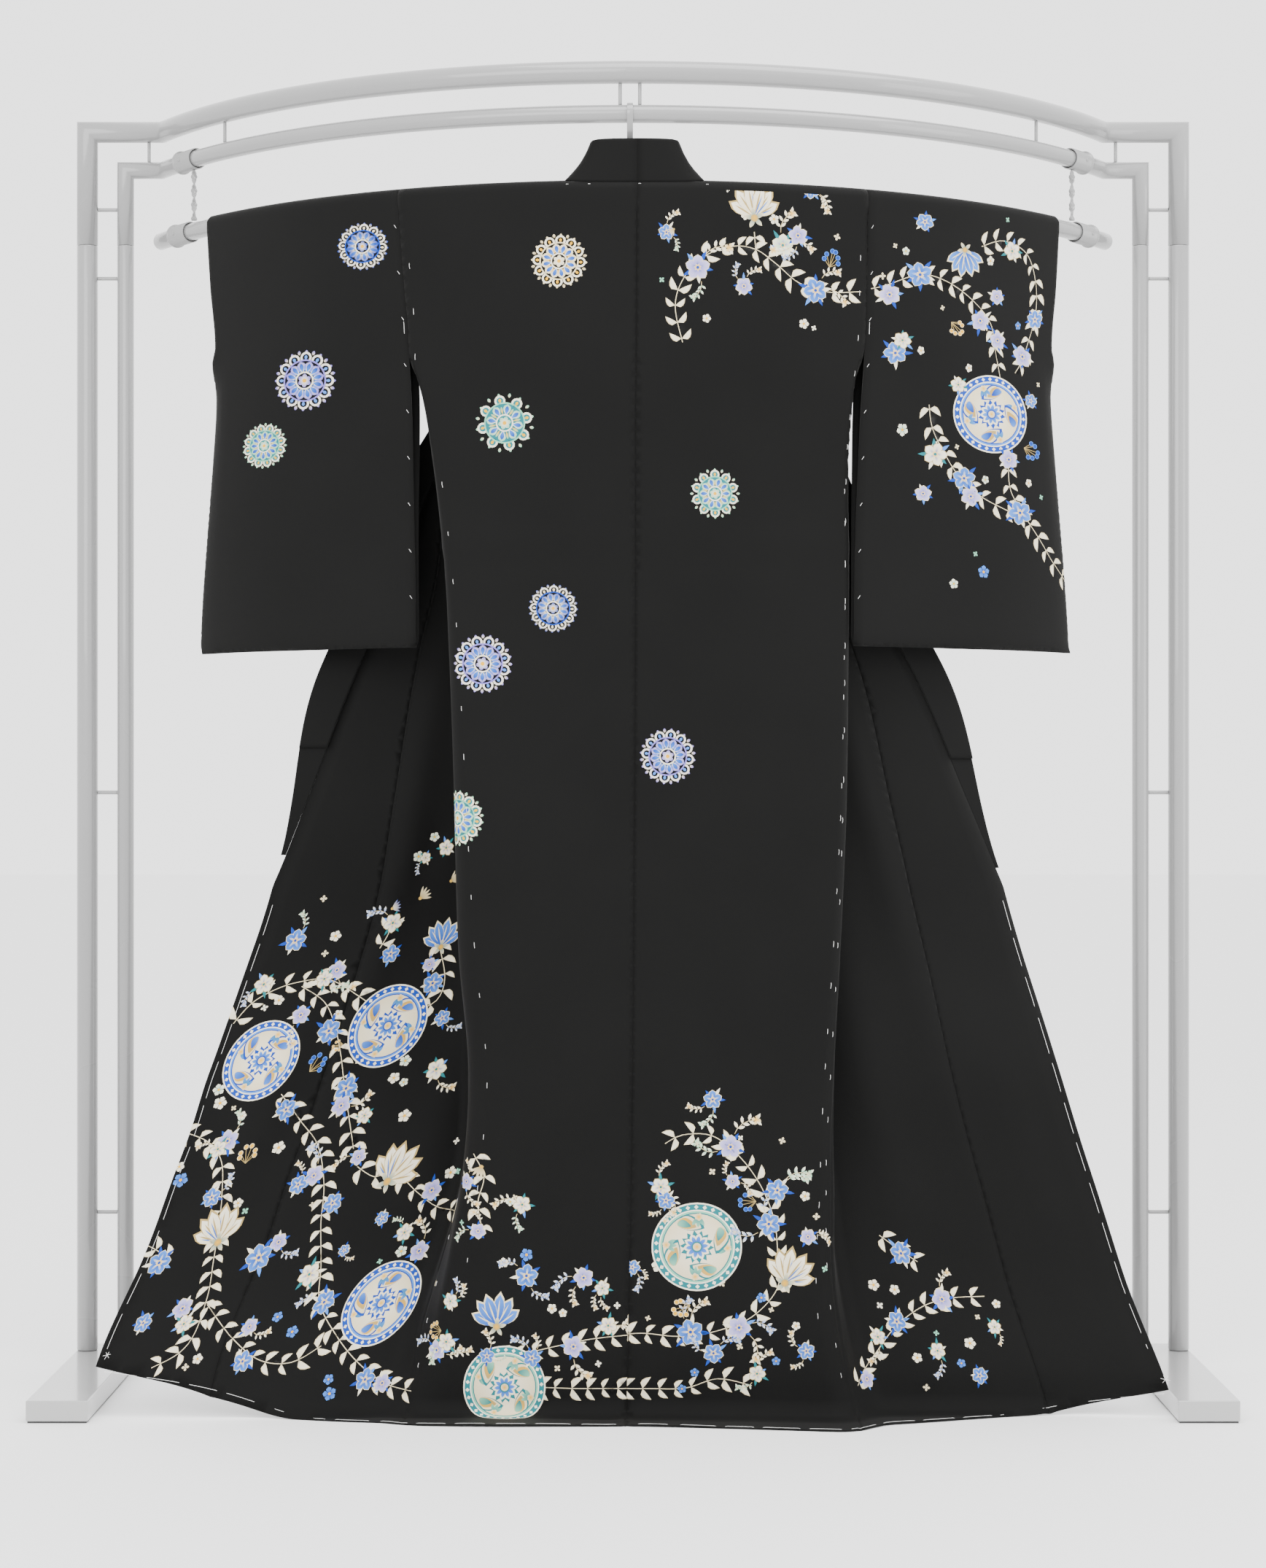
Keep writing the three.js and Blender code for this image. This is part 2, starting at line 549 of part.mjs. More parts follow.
// Twisted strip between the two clips.
function chain(length) {
  const [rings, sides] = [22, 6];
  const positions = [];
  for (let r = 0; r < rings; r += 1) {
    const f = r / (rings - 1);
    const twist = 2 * Math.PI * LINK.turns * f;
    for (let k = 0; k < sides; k += 1) {
      const angle = (2 * Math.PI * k) / sides;
      const [a, b] = [(LINK.chainWidth / 2) * Math.cos(angle), (LINK.chainThick / 2) * Math.sin(angle)];
      positions.push(a * Math.cos(twist) - b * Math.sin(twist), a * Math.sin(twist) + b * Math.cos(twist), f * length);
    }
  }
  return capped(positions, rings, sides);
}

// Materials
const cloth = new THREE.MeshStandardMaterial({ color: 0x262624, roughness: 0.75 });
const clothOverlap = cloth.clone();
clothOverlap.color.set(0x2c2c2a);
const paint = new THREE.MeshStandardMaterial({ color: 0xcfcfcd, roughness: 0.28, metalness: 0 });
const platePaint = new THREE.MeshStandardMaterial({ color: 0xe2e2e0, roughness: 0.3 });

const model = new THREE.Group();
function add(name, geometry, material) {
  const mesh = new THREE.Mesh(geometry, material);
  mesh.name = name;
  model.add(mesh);
  return mesh;
}

// The garment
for (const [name, side, sections] of [['left', -1, LEFT_SECTIONS], ['right', 1, RIGHT_SECTIONS]]) {
  const half = makeHalf(name, side, sections);
  add(`body_${name}`, bodyPanel(half), cloth);
  add(`overlap_${name}`, overlapPanel(half), clothOverlap);
  add(`collar_${name}`, sheet(collarGrid(half, COLLAR_END), COLLAR_WALL), clothOverlap);
  const cover = movedOut(collarGrid(half, OVER_COLLAR_END), side * (COLLAR_WALL / 2 + 5 * GAP + WALL / 2));
  add(`over_collar_${name}`, sheet(cover, WALL), cloth);
  add(`sleeve_${name}`, sleeveBag(half), cloth);
}

// The stand
add('upper_rail', rail(UPPER_RAIL), paint);
add('lower_rail', rail(LOWER_RAIL), paint);
add('pole', pole(), paint);
add('centre_hook', hook(), paint);

for (const [name, side] of [['left', -1], ['right', 1]]) {
  const plate = new THREE.BoxGeometry(PLATE.width, PLATE.length, PLATE.height);
  add(`base_plate_${name}`, plate, platePaint)
    .position.set(side * PLATE.side, PLATE.front + PLATE.length / 2, PLATE.height / 2);
  for (const [which, source] of [['outer', UPPER_RAIL], ['inner', LOWER_RAIL]]) {
    const foot = new THREE.Vector3(side * source.post, BOW_DEPTH, PLATE.height);
    const top = new THREE.Vector3(side * source.post, BOW_DEPTH, POST_JOINT + GAP);
    add(`${which}_post_${name}`, bar(foot, top, source.radius, 12), paint);
  }
  RUNG.heights.forEach((height, i) => {
    const outer = side * (UPPER_RAIL.post - UPPER_RAIL.radius);
    const inner = side * (LOWER_RAIL.post + LOWER_RAIL.radius);
    const [a, b] = [outer, inner].map((x) => new THREE.Vector3(x, BOW_DEPTH, height));
    add(`rung_${name}_${i + 1}`, bar(a, b, RUNG.radius), paint);
  });
  for (const [which, source] of [['rail', LOWER_RAIL], ['pole', POLE]]) {
    const place = LINK.place + (which === 'pole' ? 18 : 8);
    const along = BOW_RADIUS * Math.asin(place / BOW_RADIUS);
    const mesh = add(`${which}_clip_${name}`, clip(source.radius), paint);
    const spot = onBow(along, 0, source.height);
    mesh.position.set(side * spot.x, spot.y, source.height);
    mesh.rotation.set(0, 0, side * (along / BOW_RADIUS) - (side * Math.PI) / 2);
  }
  const bottom = POLE.height + POLE.radius + 2.8 + GAP;
  const top = LOWER_RAIL.height - LOWER_RAIL.radius - 2.8 - GAP;
  const spot = onBow(BOW_RADIUS * Math.asin(LINK.place / BOW_RADIUS), 0, bottom);
  add(`chain_${name}`, chain(top - bottom), paint).position.set(side * spot.x, spot.y, bottom);
}

const spacerEnds = [LOWER_RAIL.height + LOWER_RAIL.radius, UPPER_RAIL.height - UPPER_RAIL.radius];
const spacerSpots = [
  ...SPACER.places.map((x) => onBow(BOW_RADIUS * Math.asin(x / BOW_RADIUS), 0, 0)),
  ...SPACER.straights.map((x) => new THREE.Vector3(x, BOW_DEPTH, 0)),
];
spacerSpots.forEach((spot, i) => {
  const [from, to] = spacerEnds.map((z) => new THREE.Vector3(spot.x, spot.y, z));
  add(`spacer_${i + 1}`, bar(from, to, SPACER.radius), paint);
});

// The origin is the middle of the footprint of the whole, on the floor.
model.updateMatrixWorld(true);
const box = new THREE.Box3().setFromObject(model);
model.position.set(-(box.min.x + box.max.x) / 2, -(box.min.y + box.max.y) / 2, 0);

export default model;
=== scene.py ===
# %% [markdown]
# # A homongi kimono on its display stand
# The cloth is cut flat, piece by piece, painted while it is flat, and then hung on the bowed pole. The
# stand is steel tube with gloss paint. Everything is in metres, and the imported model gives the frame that
# it all sits in.

# %% Load the frame
import functools
import math
import random

import bmesh
import bpy
import numpy as np
from mathutils import Matrix, Vector
from mathutils.geometry import delaunay_2d_cdt


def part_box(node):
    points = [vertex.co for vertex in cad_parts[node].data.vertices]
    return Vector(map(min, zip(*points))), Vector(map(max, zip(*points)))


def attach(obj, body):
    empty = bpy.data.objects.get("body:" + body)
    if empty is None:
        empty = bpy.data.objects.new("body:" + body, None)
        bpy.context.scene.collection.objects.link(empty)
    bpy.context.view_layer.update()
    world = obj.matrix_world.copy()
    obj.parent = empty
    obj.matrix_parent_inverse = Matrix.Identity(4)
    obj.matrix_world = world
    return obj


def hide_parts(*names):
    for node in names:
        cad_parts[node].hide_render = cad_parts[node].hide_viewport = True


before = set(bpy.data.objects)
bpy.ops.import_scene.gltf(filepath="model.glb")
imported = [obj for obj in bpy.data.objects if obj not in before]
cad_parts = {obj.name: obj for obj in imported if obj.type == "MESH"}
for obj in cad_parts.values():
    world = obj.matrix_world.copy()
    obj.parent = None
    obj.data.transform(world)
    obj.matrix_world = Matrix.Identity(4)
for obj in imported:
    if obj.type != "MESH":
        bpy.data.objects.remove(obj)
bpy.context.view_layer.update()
MM = 0.001
GAP = 0.3  # mm between sewn or plugged parts
print("nodes:", len(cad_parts))

# %% [markdown]
# The sizes below are in the maker's own millimetres, with y = 0 at the front of the stand's bow. The
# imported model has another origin, so its left base plate, whose front edge is 10 mm before the bow, tells
# how far to move.

# %% The maker's millimetres
PLATE_FRONT = -10
BOW_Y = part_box("base_plate_left")[0].y / MM - PLATE_FRONT


def part(x, y, z):
    return Vector((x, y + BOW_Y, z)) * MM


print("bow front in the part's frame, mm:", round(BOW_Y, 2))

# %% [markdown]
# The photograph was taken level, 4.2 m before the bow and 0.82 m over the floor. A long lens keeps the
# rails almost parallel, and a small upward shift of the film puts the horizon where the photograph has
# it.

# %% Camera
LENS, FILM_SHIFT = 72.2, 0.0098
CAMERA_Y, EYE_HEIGHT = -4161, 824
camera_data = bpy.data.cameras.new("camera")
camera_data.lens = LENS
camera_data.sensor_width = 36
camera_data.shift_y = FILM_SHIFT
camera = bpy.data.objects.new("camera", camera_data)
camera.location = part(0, CAMERA_Y, EYE_HEIGHT)
camera.rotation_euler = (math.radians(90), 0, 0)
bpy.context.scene.collection.objects.link(camera)
bpy.context.scene.camera = camera
print("camera at", [round(v, 3) for v in camera.location])

# %% [markdown]
# A studio shot on white: a pale floor, a white world that fills every shadow, and three wide soft boxes,
# before the cloth, over it and at its side. Black silk shows only where such lights graze it, so they are
# large, not strong.

# %% Floor and lights
FLOOR_WIDTH, FLOOR_COLOUR, FLOOR_ROUGHNESS = 60, (0.93, 0.93, 0.93, 1), 0.8
WORLD_STRENGTH = 2.6

bpy.ops.mesh.primitive_plane_add(size=FLOOR_WIDTH)
floor = bpy.context.object
floor.name = "studio_floor"
floor_paint = bpy.data.materials.new("studio_floor")
floor_paint.use_nodes = True
floor_inputs = floor_paint.node_tree.nodes["Principled BSDF"].inputs
floor_inputs["Base Color"].default_value = FLOOR_COLOUR
floor_inputs["Roughness"].default_value = FLOOR_ROUGHNESS
floor.data.materials.append(floor_paint)

world = bpy.data.worlds.new("studio")
bpy.context.scene.world = world
world.use_nodes = True
world.node_tree.nodes["Background"].inputs["Color"].default_value = (1, 1, 1, 1)
world.node_tree.nodes["Background"].inputs["Strength"].default_value = WORLD_STRENGTH

SOFT_BOXES = (  # name, place in m, turn in degrees, width and height in m, power in W
    ("front_box", (-1.3, -3.4, 2.3), (66, 0, -18), (2.4, 1.8), 60),
    ("top_box", (0.6, -0.9, 3.3), (14, 0, 10), (2.4, 1.4), 60),
    ("side_box", (3.0, -1.4, 1.3), (84, 0, 66), (1.2, 2.2), 25),
)
for name, place, turn, (width, height), power in SOFT_BOXES:
    light = bpy.data.lights.new(name, "AREA")
    light.shape = "RECTANGLE"
    light.size, light.size_y = width, height
    light.energy = power
    box = bpy.data.objects.new(name, light)
    box.location = place
    box.rotation_euler = [math.radians(a) for a in turn]
    bpy.context.scene.collection.objects.link(box)
print("soft boxes:", len(SOFT_BOXES))

# %% [markdown]
# Grain is shared by every finish: silk crepe is pebbled by its twisted weft, and sprayed paint dries with
# a faint orange peel. One node group makes a fine noise on stretched coordinates, and each material feeds
# it its own values.

# %% The grain node group
def new_group(name, numbers):
    group = bpy.data.node_groups.new(name, "ShaderNodeTree")
    face = group.interface
    face.new_socket("Vector", in_out="INPUT", socket_type="NodeSocketVector")
    for label, value in numbers:
        face.new_socket(label, in_out="INPUT", socket_type="NodeSocketFloat").default_value = value
    return group, group.nodes.new("NodeGroupInput"), group.nodes.new("NodeGroupOutput")


def wire(tree, *pairs):
    for source, target in pairs:
        tree.links.new(source, target)


grain, g_in, g_out = new_group("grain", (("Fineness", 900.0), ("Stretch", 2.0), ("Patch Size", 6.0)))
grain.interface.new_socket("Height", in_out="OUTPUT", socket_type="NodeSocketFloat")
grain.interface.new_socket("Patches", in_out="OUTPUT", socket_type="NodeSocketFloat")
spread = grain.nodes.new("ShaderNodeCombineXYZ")
spread.inputs[1].default_value = spread.inputs[2].default_value = 1
stretched = grain.nodes.new("ShaderNodeVectorMath")
stretched.operation = "MULTIPLY"
pebbles = grain.nodes.new("ShaderNodeTexNoise")
pebbles.inputs["Detail"].default_value = 3
patches = grain.nodes.new("ShaderNodeTexNoise")
patches.inputs["Detail"].default_value = 2
wire(
    grain, (g_in.outputs["Stretch"], spread.inputs[0]), (g_in.outputs["Vector"], stretched.inputs[0]),
    (spread.outputs[0], stretched.inputs[1]), (stretched.outputs[0], pebbles.inputs["Vector"]),
    (g_in.outputs["Fineness"], pebbles.inputs["Scale"]), (g_in.outputs["Vector"], patches.inputs["Vector"]),
    (g_in.outputs["Patch Size"], patches.inputs["Scale"]), (pebbles.outputs["Fac"], g_out.inputs["Height"]),
    (patches.outputs["Fac"], g_out.inputs["Patches"]),
)

# %% [markdown]
# A finish is a Principled shader with its fixed numbers on its own sockets. The helper below makes one,
# puts the grain group before it, and lets patches of the noise shift the roughness a little, as no real
# surface is even.

# %% A finish with grain
def finish_with_grain(name, values, coords, fineness, stretch, patch, bump, rough):
    material = bpy.data.materials.new(name)
    material.use_nodes = True
    tree = material.node_tree
    shader = tree.nodes["Principled BSDF"]
    for label, value in values.items():
        shader.inputs[label].default_value = value
    place = tree.nodes.new("ShaderNodeTexCoord")
    fine = tree.nodes.new("ShaderNodeGroup")
    fine.node_tree = grain
    fine.inputs["Fineness"].default_value = fineness
    fine.inputs["Stretch"].default_value = stretch
    fine.inputs["Patch Size"].default_value = patch
    relief = tree.nodes.new("ShaderNodeBump")
    relief.inputs["Strength"].default_value, relief.inputs["Distance"].default_value = bump
    shift = tree.nodes.new("ShaderNodeMapRange")
    shift.inputs["To Min"].default_value, shift.inputs["To Max"].default_value = rough
    wire(
        tree, (place.outputs[coords], fine.inputs["Vector"]),
        (fine.outputs["Height"], relief.inputs["Height"]),
        (relief.outputs["Normal"], shader.inputs["Normal"]), (fine.outputs["Patches"], shift.inputs["Value"]),
        (shift.outputs["Result"], shader.inputs["Roughness"]),
    )
    return material, tree, shader, fine


# %% [markdown]
# The rails, posts and pole are steel tube under a pale grey gloss paint, and the foot plates are whiter.
# The paint is smooth enough to show the soft boxes as long streaks along each tube.

# %% Stand paint
gloss_paint, *_ = finish_with_grain(
    "gloss_paint", {"Base Color": (0.235, 0.235, 0.235, 1), "Coat Weight": 0.7, "Coat Roughness": 0.06},
    "Object", 260, 1, 5, (0.05, 0.0006), (0.2, 0.34),
)
plate_paint, *_ = finish_with_grain(
    "plate_paint", {"Base Color": (0.36, 0.36, 0.358, 1), "Coat Weight": 0.6, "Coat Roughness": 0.05},
    "Object", 220, 1, 4, (0.05, 0.0006), (0.16, 0.3),
)
pad_rubber, *_ = finish_with_grain(
    "pad_rubber", {"Base Color": (0.035, 0.035, 0.035, 1)}, "Object", 900, 1, 8, (0.3, 0.0003), (0.7, 0.85),
)


def keep(bm, name, material, nodes=(), smooth=True):
    """Turns a bmesh into a piece that rides on the part and stands for its nodes."""
    bmesh.ops.recalc_face_normals(bm, faces=bm.faces)
    for face in bm.faces:
        face.smooth = smooth
    mesh = bpy.data.meshes.new(name)
    bm.to_mesh(mesh)
    bm.free()
    piece = bpy.data.objects.new(name, mesh)
    bpy.context.scene.collection.objects.link(piece)
    mesh.materials.append(material)
    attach(piece, "root")
    if nodes:
        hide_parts(*nodes)
    return piece


# %% [markdown]
# A bent tube is a ring pushed along a path. At each corner the ring slides forward until it lies in the
# mitre plane, which keeps the tube's true width round a sharp corner. A bevel on the two end rings takes
# off the cut edge.

# %% Bent tubes
ROUND_SIDES = 32


def extruded(bm, edges):
    """Extrudes edges in place, and gives the new points and the new edges."""
    grown = bmesh.ops.extrude_edge_only(bm, edges=edges)["geom"]
    points = [item for item in grown if isinstance(item, bmesh.types.BMVert)]
    return points, [item for item in grown if isinstance(item, bmesh.types.BMEdge)]


def capped_ring(bm, sides, radius, matrix):
    ring = bmesh.ops.create_circle(bm, cap_ends=True, segments=sides, radius=radius, matrix=matrix)["verts"]
    return ring, list(dict.fromkeys(edge for vertex in ring for edge in vertex.link_edges))


def bent_tube(path, radius, rounding=0.0):
    bm = bmesh.new()
    ways = [(b - a).normalized() for a, b in zip(path, path[1:])]
    turn = Vector((0, 0, 1)).rotation_difference(ways[0]).to_matrix().to_4x4()
    ring, edges = capped_ring(bm, ROUND_SIDES, radius, Matrix.Translation(path[0]) @ turn)
    caps = [ring]
    for i, target in enumerate(path[1:], 1):
        onward = ways[min(i, len(ways) - 1)]
        mitre = (ways[i - 1] + onward).normalized()
        ring, edges = extruded(bm, edges)
        for vertex in ring:
            vertex.co += ways[i - 1] * ((target - vertex.co).dot(mitre) / ways[i - 1].dot(mitre))
    bmesh.ops.contextual_create(bm, geom=edges)
    caps.append(ring)
    if rounding:
        rims = [
            e for e in bm.edges
            if all(any(v in c for c in caps) for v in e.verts) and any(len(f.verts) > 4 for f in e.link_faces)
        ]
        bmesh.ops.bevel(
            bm, geom=rims, offset=rounding, segments=3, profile=0.5, affect="EDGES", material=-1,
            offset_type="OFFSET",
        )
    return bm


# %% [markdown]
# Both rails and the pole follow one arc in plan, 802 mm in radius. The rails then run straight for a
# hand's width, turn down at a mitred corner, and end at the sleeve joint of the posts.

# %% Rails and pole
BOW_RADIUS, BOW_HALF_CHORD = 802, 679
BOW_ANGLE = math.asin(BOW_HALF_CHORD / BOW_RADIUS)
BOW_DEPTH = BOW_RADIUS * (1 - math.cos(BOW_ANGLE))
POST_JOINT = 1622
RAIL_RADIUS, RAIL_Z = 12, 1731
RAILS = (("upper_rail", 15, 1786, 787), ("lower_rail", RAIL_RADIUS, RAIL_Z, 732))  # radius, height, post
RAIL_STEPS, POLE_STEPS = 64, 72
POLE_RADIUS, POLE_HEIGHT, POLE_REACH, POLE_ROUNDING = 12, 1629, 815, 0.0012
STRAIGHT = 1e-6


def on_bow(along, behind, height, curvature=1 / BOW_RADIUS):
    """A place in mm along and behind an arc in plan; a straight line counts as a very flat arc."""
    k = np.where(np.abs(curvature) < STRAIGHT, STRAIGHT, curvature)
    radius = 1 / k - behind
    return radius * np.sin(along * k), 1 / k - radius * np.cos(along * k), height


def bow(reach, height, steps):
    return [part(*on_bow(reach * (2 * i / steps - 1), 0, height)) for i in range(steps + 1)]


for name, radius, height, post in RAILS:
    ends = [[part(x, BOW_DEPTH, POST_JOINT + GAP), part(x, BOW_DEPTH, height)] for x in (-post, post)]
    path = ends[0] + bow(BOW_RADIUS * BOW_ANGLE, height, RAIL_STEPS) + ends[1][::-1]
    keep(bent_tube(path, radius * MM), name + "_tube", gloss_paint, [name])
pole_path = bow(POLE_REACH, POLE_HEIGHT, POLE_STEPS)
pole_mesh = bent_tube(pole_path, POLE_RADIUS * MM, POLE_ROUNDING)
pole_tube = keep(pole_mesh, "pole_tube", gloss_paint, ["pole"])
print("rails and pole:", len(pole_tube.data.polygons), "faces in the pole")

# %% [markdown]
# The posts, rungs and spacers are straight round bars. Each one takes its ends and its thickness from its
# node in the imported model, so a loop over their names makes them all.

# %% Straight bars
BAR_ROUNDING = 0.12  # share of the radius
bars = [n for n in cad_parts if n.split("_")[0] in ("outer", "inner", "rung", "spacer")]
for name in bars:
    low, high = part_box(name)
    size = high - low
    axis = max(range(3), key=lambda i: size[i])
    radius = min(size) / 2
    a, b = (low + high) / 2, (low + high) / 2
    a[axis], b[axis] = low[axis], high[axis]
    bar = bent_tube([a, b], radius, radius * BAR_ROUNDING)
    keep(bar, name + "_bar", gloss_paint, [name])
print("straight bars:", len(bars))

# %% [markdown]
# Each foot plate is a flat box with softened edges that lies on a thin dark pad, which keeps the paint
# off the floor. The plate's box comes from its node, less the pad's thickness.

# %% Foot plates and pads
PAD, PAD_INSET, PLATE_ROUNDING, PAD_ROUNDING = 0.0025, 0.002, 0.0016, 0.0004
for side in ("left", "right"):
    low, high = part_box("base_plate_" + side)
    for name, z0, z1, inset, rounding, material, nodes in (
        (f"foot_plate_{side}", low.z + PAD, high.z, 0, PLATE_ROUNDING, plate_paint, [f"base_plate_{side}"]),
        (f"foot_pad_{side}", low.z, low.z + PAD, PAD_INSET, PAD_ROUNDING, pad_rubber, []),
    ):
        bm = bmesh.new()
        bmesh.ops.create_cube(bm, size=1)
        size = Vector((high.x - low.x - 2 * inset, high.y - low.y - 2 * inset, z1 - z0))
        bmesh.ops.scale(bm, verts=bm.verts, vec=size)
        centre = Vector(((low.x + high.x) / 2, (low.y + high.y) / 2, (z0 + z1) / 2))
        bmesh.ops.translate(bm, verts=bm.verts, vec=centre)
        bmesh.ops.bevel(
            bm, geom=bm.edges, offset=rounding, segments=3, profile=0.5, affect="EDGES",
            material=-1, offset_type="OFFSET",
        )
        piece = keep(bm, name, material, nodes, smooth=False)
        print(name, [round(v, 4) for v in piece.dimensions])

# %% [markdown]
# Flat hooks and clips tie the stand together. The centre hook is a bent strip that hangs over the lower
# rail and holds the pole from behind. A ring with a lip sits on the rail and on the pole at each side,
# each with a small screw, and a twisted chain runs between the two rings.

# %% Centre hook
HOOK_X, HOOK_WIDTH, HOOK_THICK, HOOK_ROUNDING = -4, 8, 2, 0.0004


def rim(height, radius, degrees):
    angle = math.radians(degrees)
    return -radius * math.cos(angle), height + radius * math.sin(angle)


strip = [rim(RAIL_Z, RAIL_RADIUS + 0.6 + HOOK_THICK / 2, 150 - 5 * i) for i in range(36)]
strip += [(4, 1700), (6, 1652)]
strip += [rim(POLE_HEIGHT, POLE_RADIUS + 0.9 + HOOK_THICK / 2, 150 + 6 * i) for i in range(21)]
bm = bmesh.new()
left_edge = [bm.verts.new(part(HOOK_X - HOOK_WIDTH / 2, y, z)) for y, z in strip]
edges = [bm.edges.new(pair) for pair in zip(left_edge, left_edge[1:])]
moved, _ = extruded(bm, edges)
bmesh.ops.translate(bm, verts=moved, vec=(HOOK_WIDTH * MM, 0, 0))
hook = keep(bm, "centre_hook_strip", gloss_paint, ["centre_hook"])
solid = hook.modifiers.new("thickness", "SOLIDIFY")
solid.thickness, solid.offset = HOOK_THICK * MM, 0
soft_edge = hook.modifiers.new("edge", "BEVEL")
soft_edge.width, soft_edge.segments, soft_edge.limit_method = HOOK_ROUNDING, 2, "ANGLE"

# %% [markdown]
# Each ring is turned from one outline. A chain is one flattened rod that swells at every link and twists as
# it rises.

# %% Clips, screws and chains
CLIP_HALF, SCREW_RADIUS = 22, 0.0026
CHAIN_X, CHAIN_TURNS, CHAIN_STEPS, CHAIN_RADIUS, CHAIN_GAP = 622, 1.75, 56, 0.0035, 3.1
LINKS, WAIST = 11, 0.74
CLIPS = (("rail", RAIL_RADIUS, RAIL_Z, 630), ("pole", POLE_RADIUS, POLE_HEIGHT, 640))

for side, name in ((-1, "left"), (1, "right")):
    for which, radius, height, place in CLIPS:
        bore, skin, lip = radius + 1.1, radius + 2.8, radius + 4.6
        outline = [
            (bore, -CLIP_HALF), (skin - 0.4, -CLIP_HALF), (skin, 0.4 - CLIP_HALF), (skin, CLIP_HALF - 4),
            (lip - 0.5, CLIP_HALF - 3.2), (lip, CLIP_HALF - 2.6), (lip, CLIP_HALF - 0.6),
            (lip - 0.6, CLIP_HALF), (bore, CLIP_HALF),
        ]
        bm = bmesh.new()
        ring = [bm.verts.new((r * MM, 0, z * MM)) for r, z in outline]
        edges = [bm.edges.new((ring[i - 1], ring[i])) for i in range(len(ring))]
        bmesh.ops.spin(bm, geom=ring + edges, axis=(0, 0, 1), cent=(0, 0, 0), steps=48, angle=math.tau)
        bmesh.ops.remove_doubles(bm, verts=bm.verts, dist=1e-6)
        bmesh.ops.create_uvsphere(
            bm, u_segments=16, v_segments=8, radius=SCREW_RADIUS,
            matrix=Matrix.Translation((0, -(skin + 0.3) * MM, 0.004)) @ Matrix.Diagonal((1, 0.6, 1, 1)),
        )
        angle = side * math.asin(place / BOW_RADIUS)
        spot = part(*on_bow(BOW_RADIUS * angle, 0, height))
        turn = Matrix.Rotation(angle, 4, "Z") @ Matrix.Rotation(side * math.pi / 2, 4, "Y")
        bmesh.ops.transform(bm, verts=bm.verts, matrix=Matrix.Translation(spot) @ turn)
        keep(bm, f"{which}_clip_{name}_ring", gloss_paint, [f"{which}_clip_{name}"])
    low, high = POLE_HEIGHT + POLE_RADIUS + CHAIN_GAP, RAIL_Z - RAIL_RADIUS - CHAIN_GAP
    x, y, _ = on_bow(side * BOW_RADIUS * math.asin(CHAIN_X / BOW_RADIUS), 0, low)
    parts = [i / CHAIN_STEPS for i in range(CHAIN_STEPS + 1)]
    path = [part(x, y, low + (high - low) * t) for t in parts]
    swell = [WAIST + (1 - WAIST) * abs(math.sin(math.pi * LINKS * t)) for t in parts]
    turn = Matrix.Rotation(math.tau * CHAIN_TURNS / CHAIN_STEPS, 3, "Z")
    bm = bmesh.new()
    flattened = Matrix.Translation(path[0]) @ Matrix.Diagonal((1, 0.43, 1, 1))
    circle, edges = capped_ring(bm, 16, CHAIN_RADIUS, flattened)
    for i in range(1, CHAIN_STEPS + 1):
        circle, edges = extruded(bm, edges)
        bmesh.ops.translate(bm, verts=circle, vec=path[i] - path[i - 1])
        bmesh.ops.rotate(bm, verts=circle, cent=path[i], matrix=turn)
        size = swell[i] / swell[i - 1]
        bmesh.ops.scale(bm, verts=circle, vec=Vector((size, size, 1)), space=Matrix.Translation(-path[i]))
    bmesh.ops.contextual_create(bm, geom=edges)
    keep(bm, f"chain_{name}_links", gloss_paint, [f"chain_{name}"])
print("clips and chains on both sides")

# %% [markdown]
# # The garment
# Each half is one long cloth panel: the back, the side seam and the front in one chart, with u measured
# across the cloth from the centre seam and v down the cloth from the pole. The tables say, at each
# height, how far the cloth runs before it turns back at the side, how sharply it turns, and where its
# second fold stands. Wrinkles are listed one by one: each is a soft ridge or trough with its own place,
# lean, length, width and height. The long ones across the back are where the garment was folded for
# storage, and hidden panels have theirs too.

# %% Form tables
WALL = 1.2
SHOULDER, NECK_HALF, FRONT, OVERLAP_HEM, COLLAR = 318, 90, 265, 163, 55
FRONT_TOP = SHOULDER - NECK_HALF - 11
COLLAR_END, OVERLAP_TIP, SLIT_TOP, SLIT_FOOT, OVER_COLLAR_END = 705, 1400, 1440, 1270, 860
CLOTH_RADIUS = 14.0
FOLD_LENGTH, CREASE_LENGTH, FLOOR_BEND, ENDLESS = math.pi * CLOTH_RADIUS, 30, 18, 1e6
LOWEST = 1.4
COLLAR_TIP, COLLAR_FULL, COLLAR_SPREAD = 4, 56, 1010
LEAN_REACH, PROBE = 250, 1.5
SEAM_FOLDS = (1.5, 2.6), (1.2, 2.4), (1.2, 2.4)  # how deep and how wide: centre seam, side seam, front seam

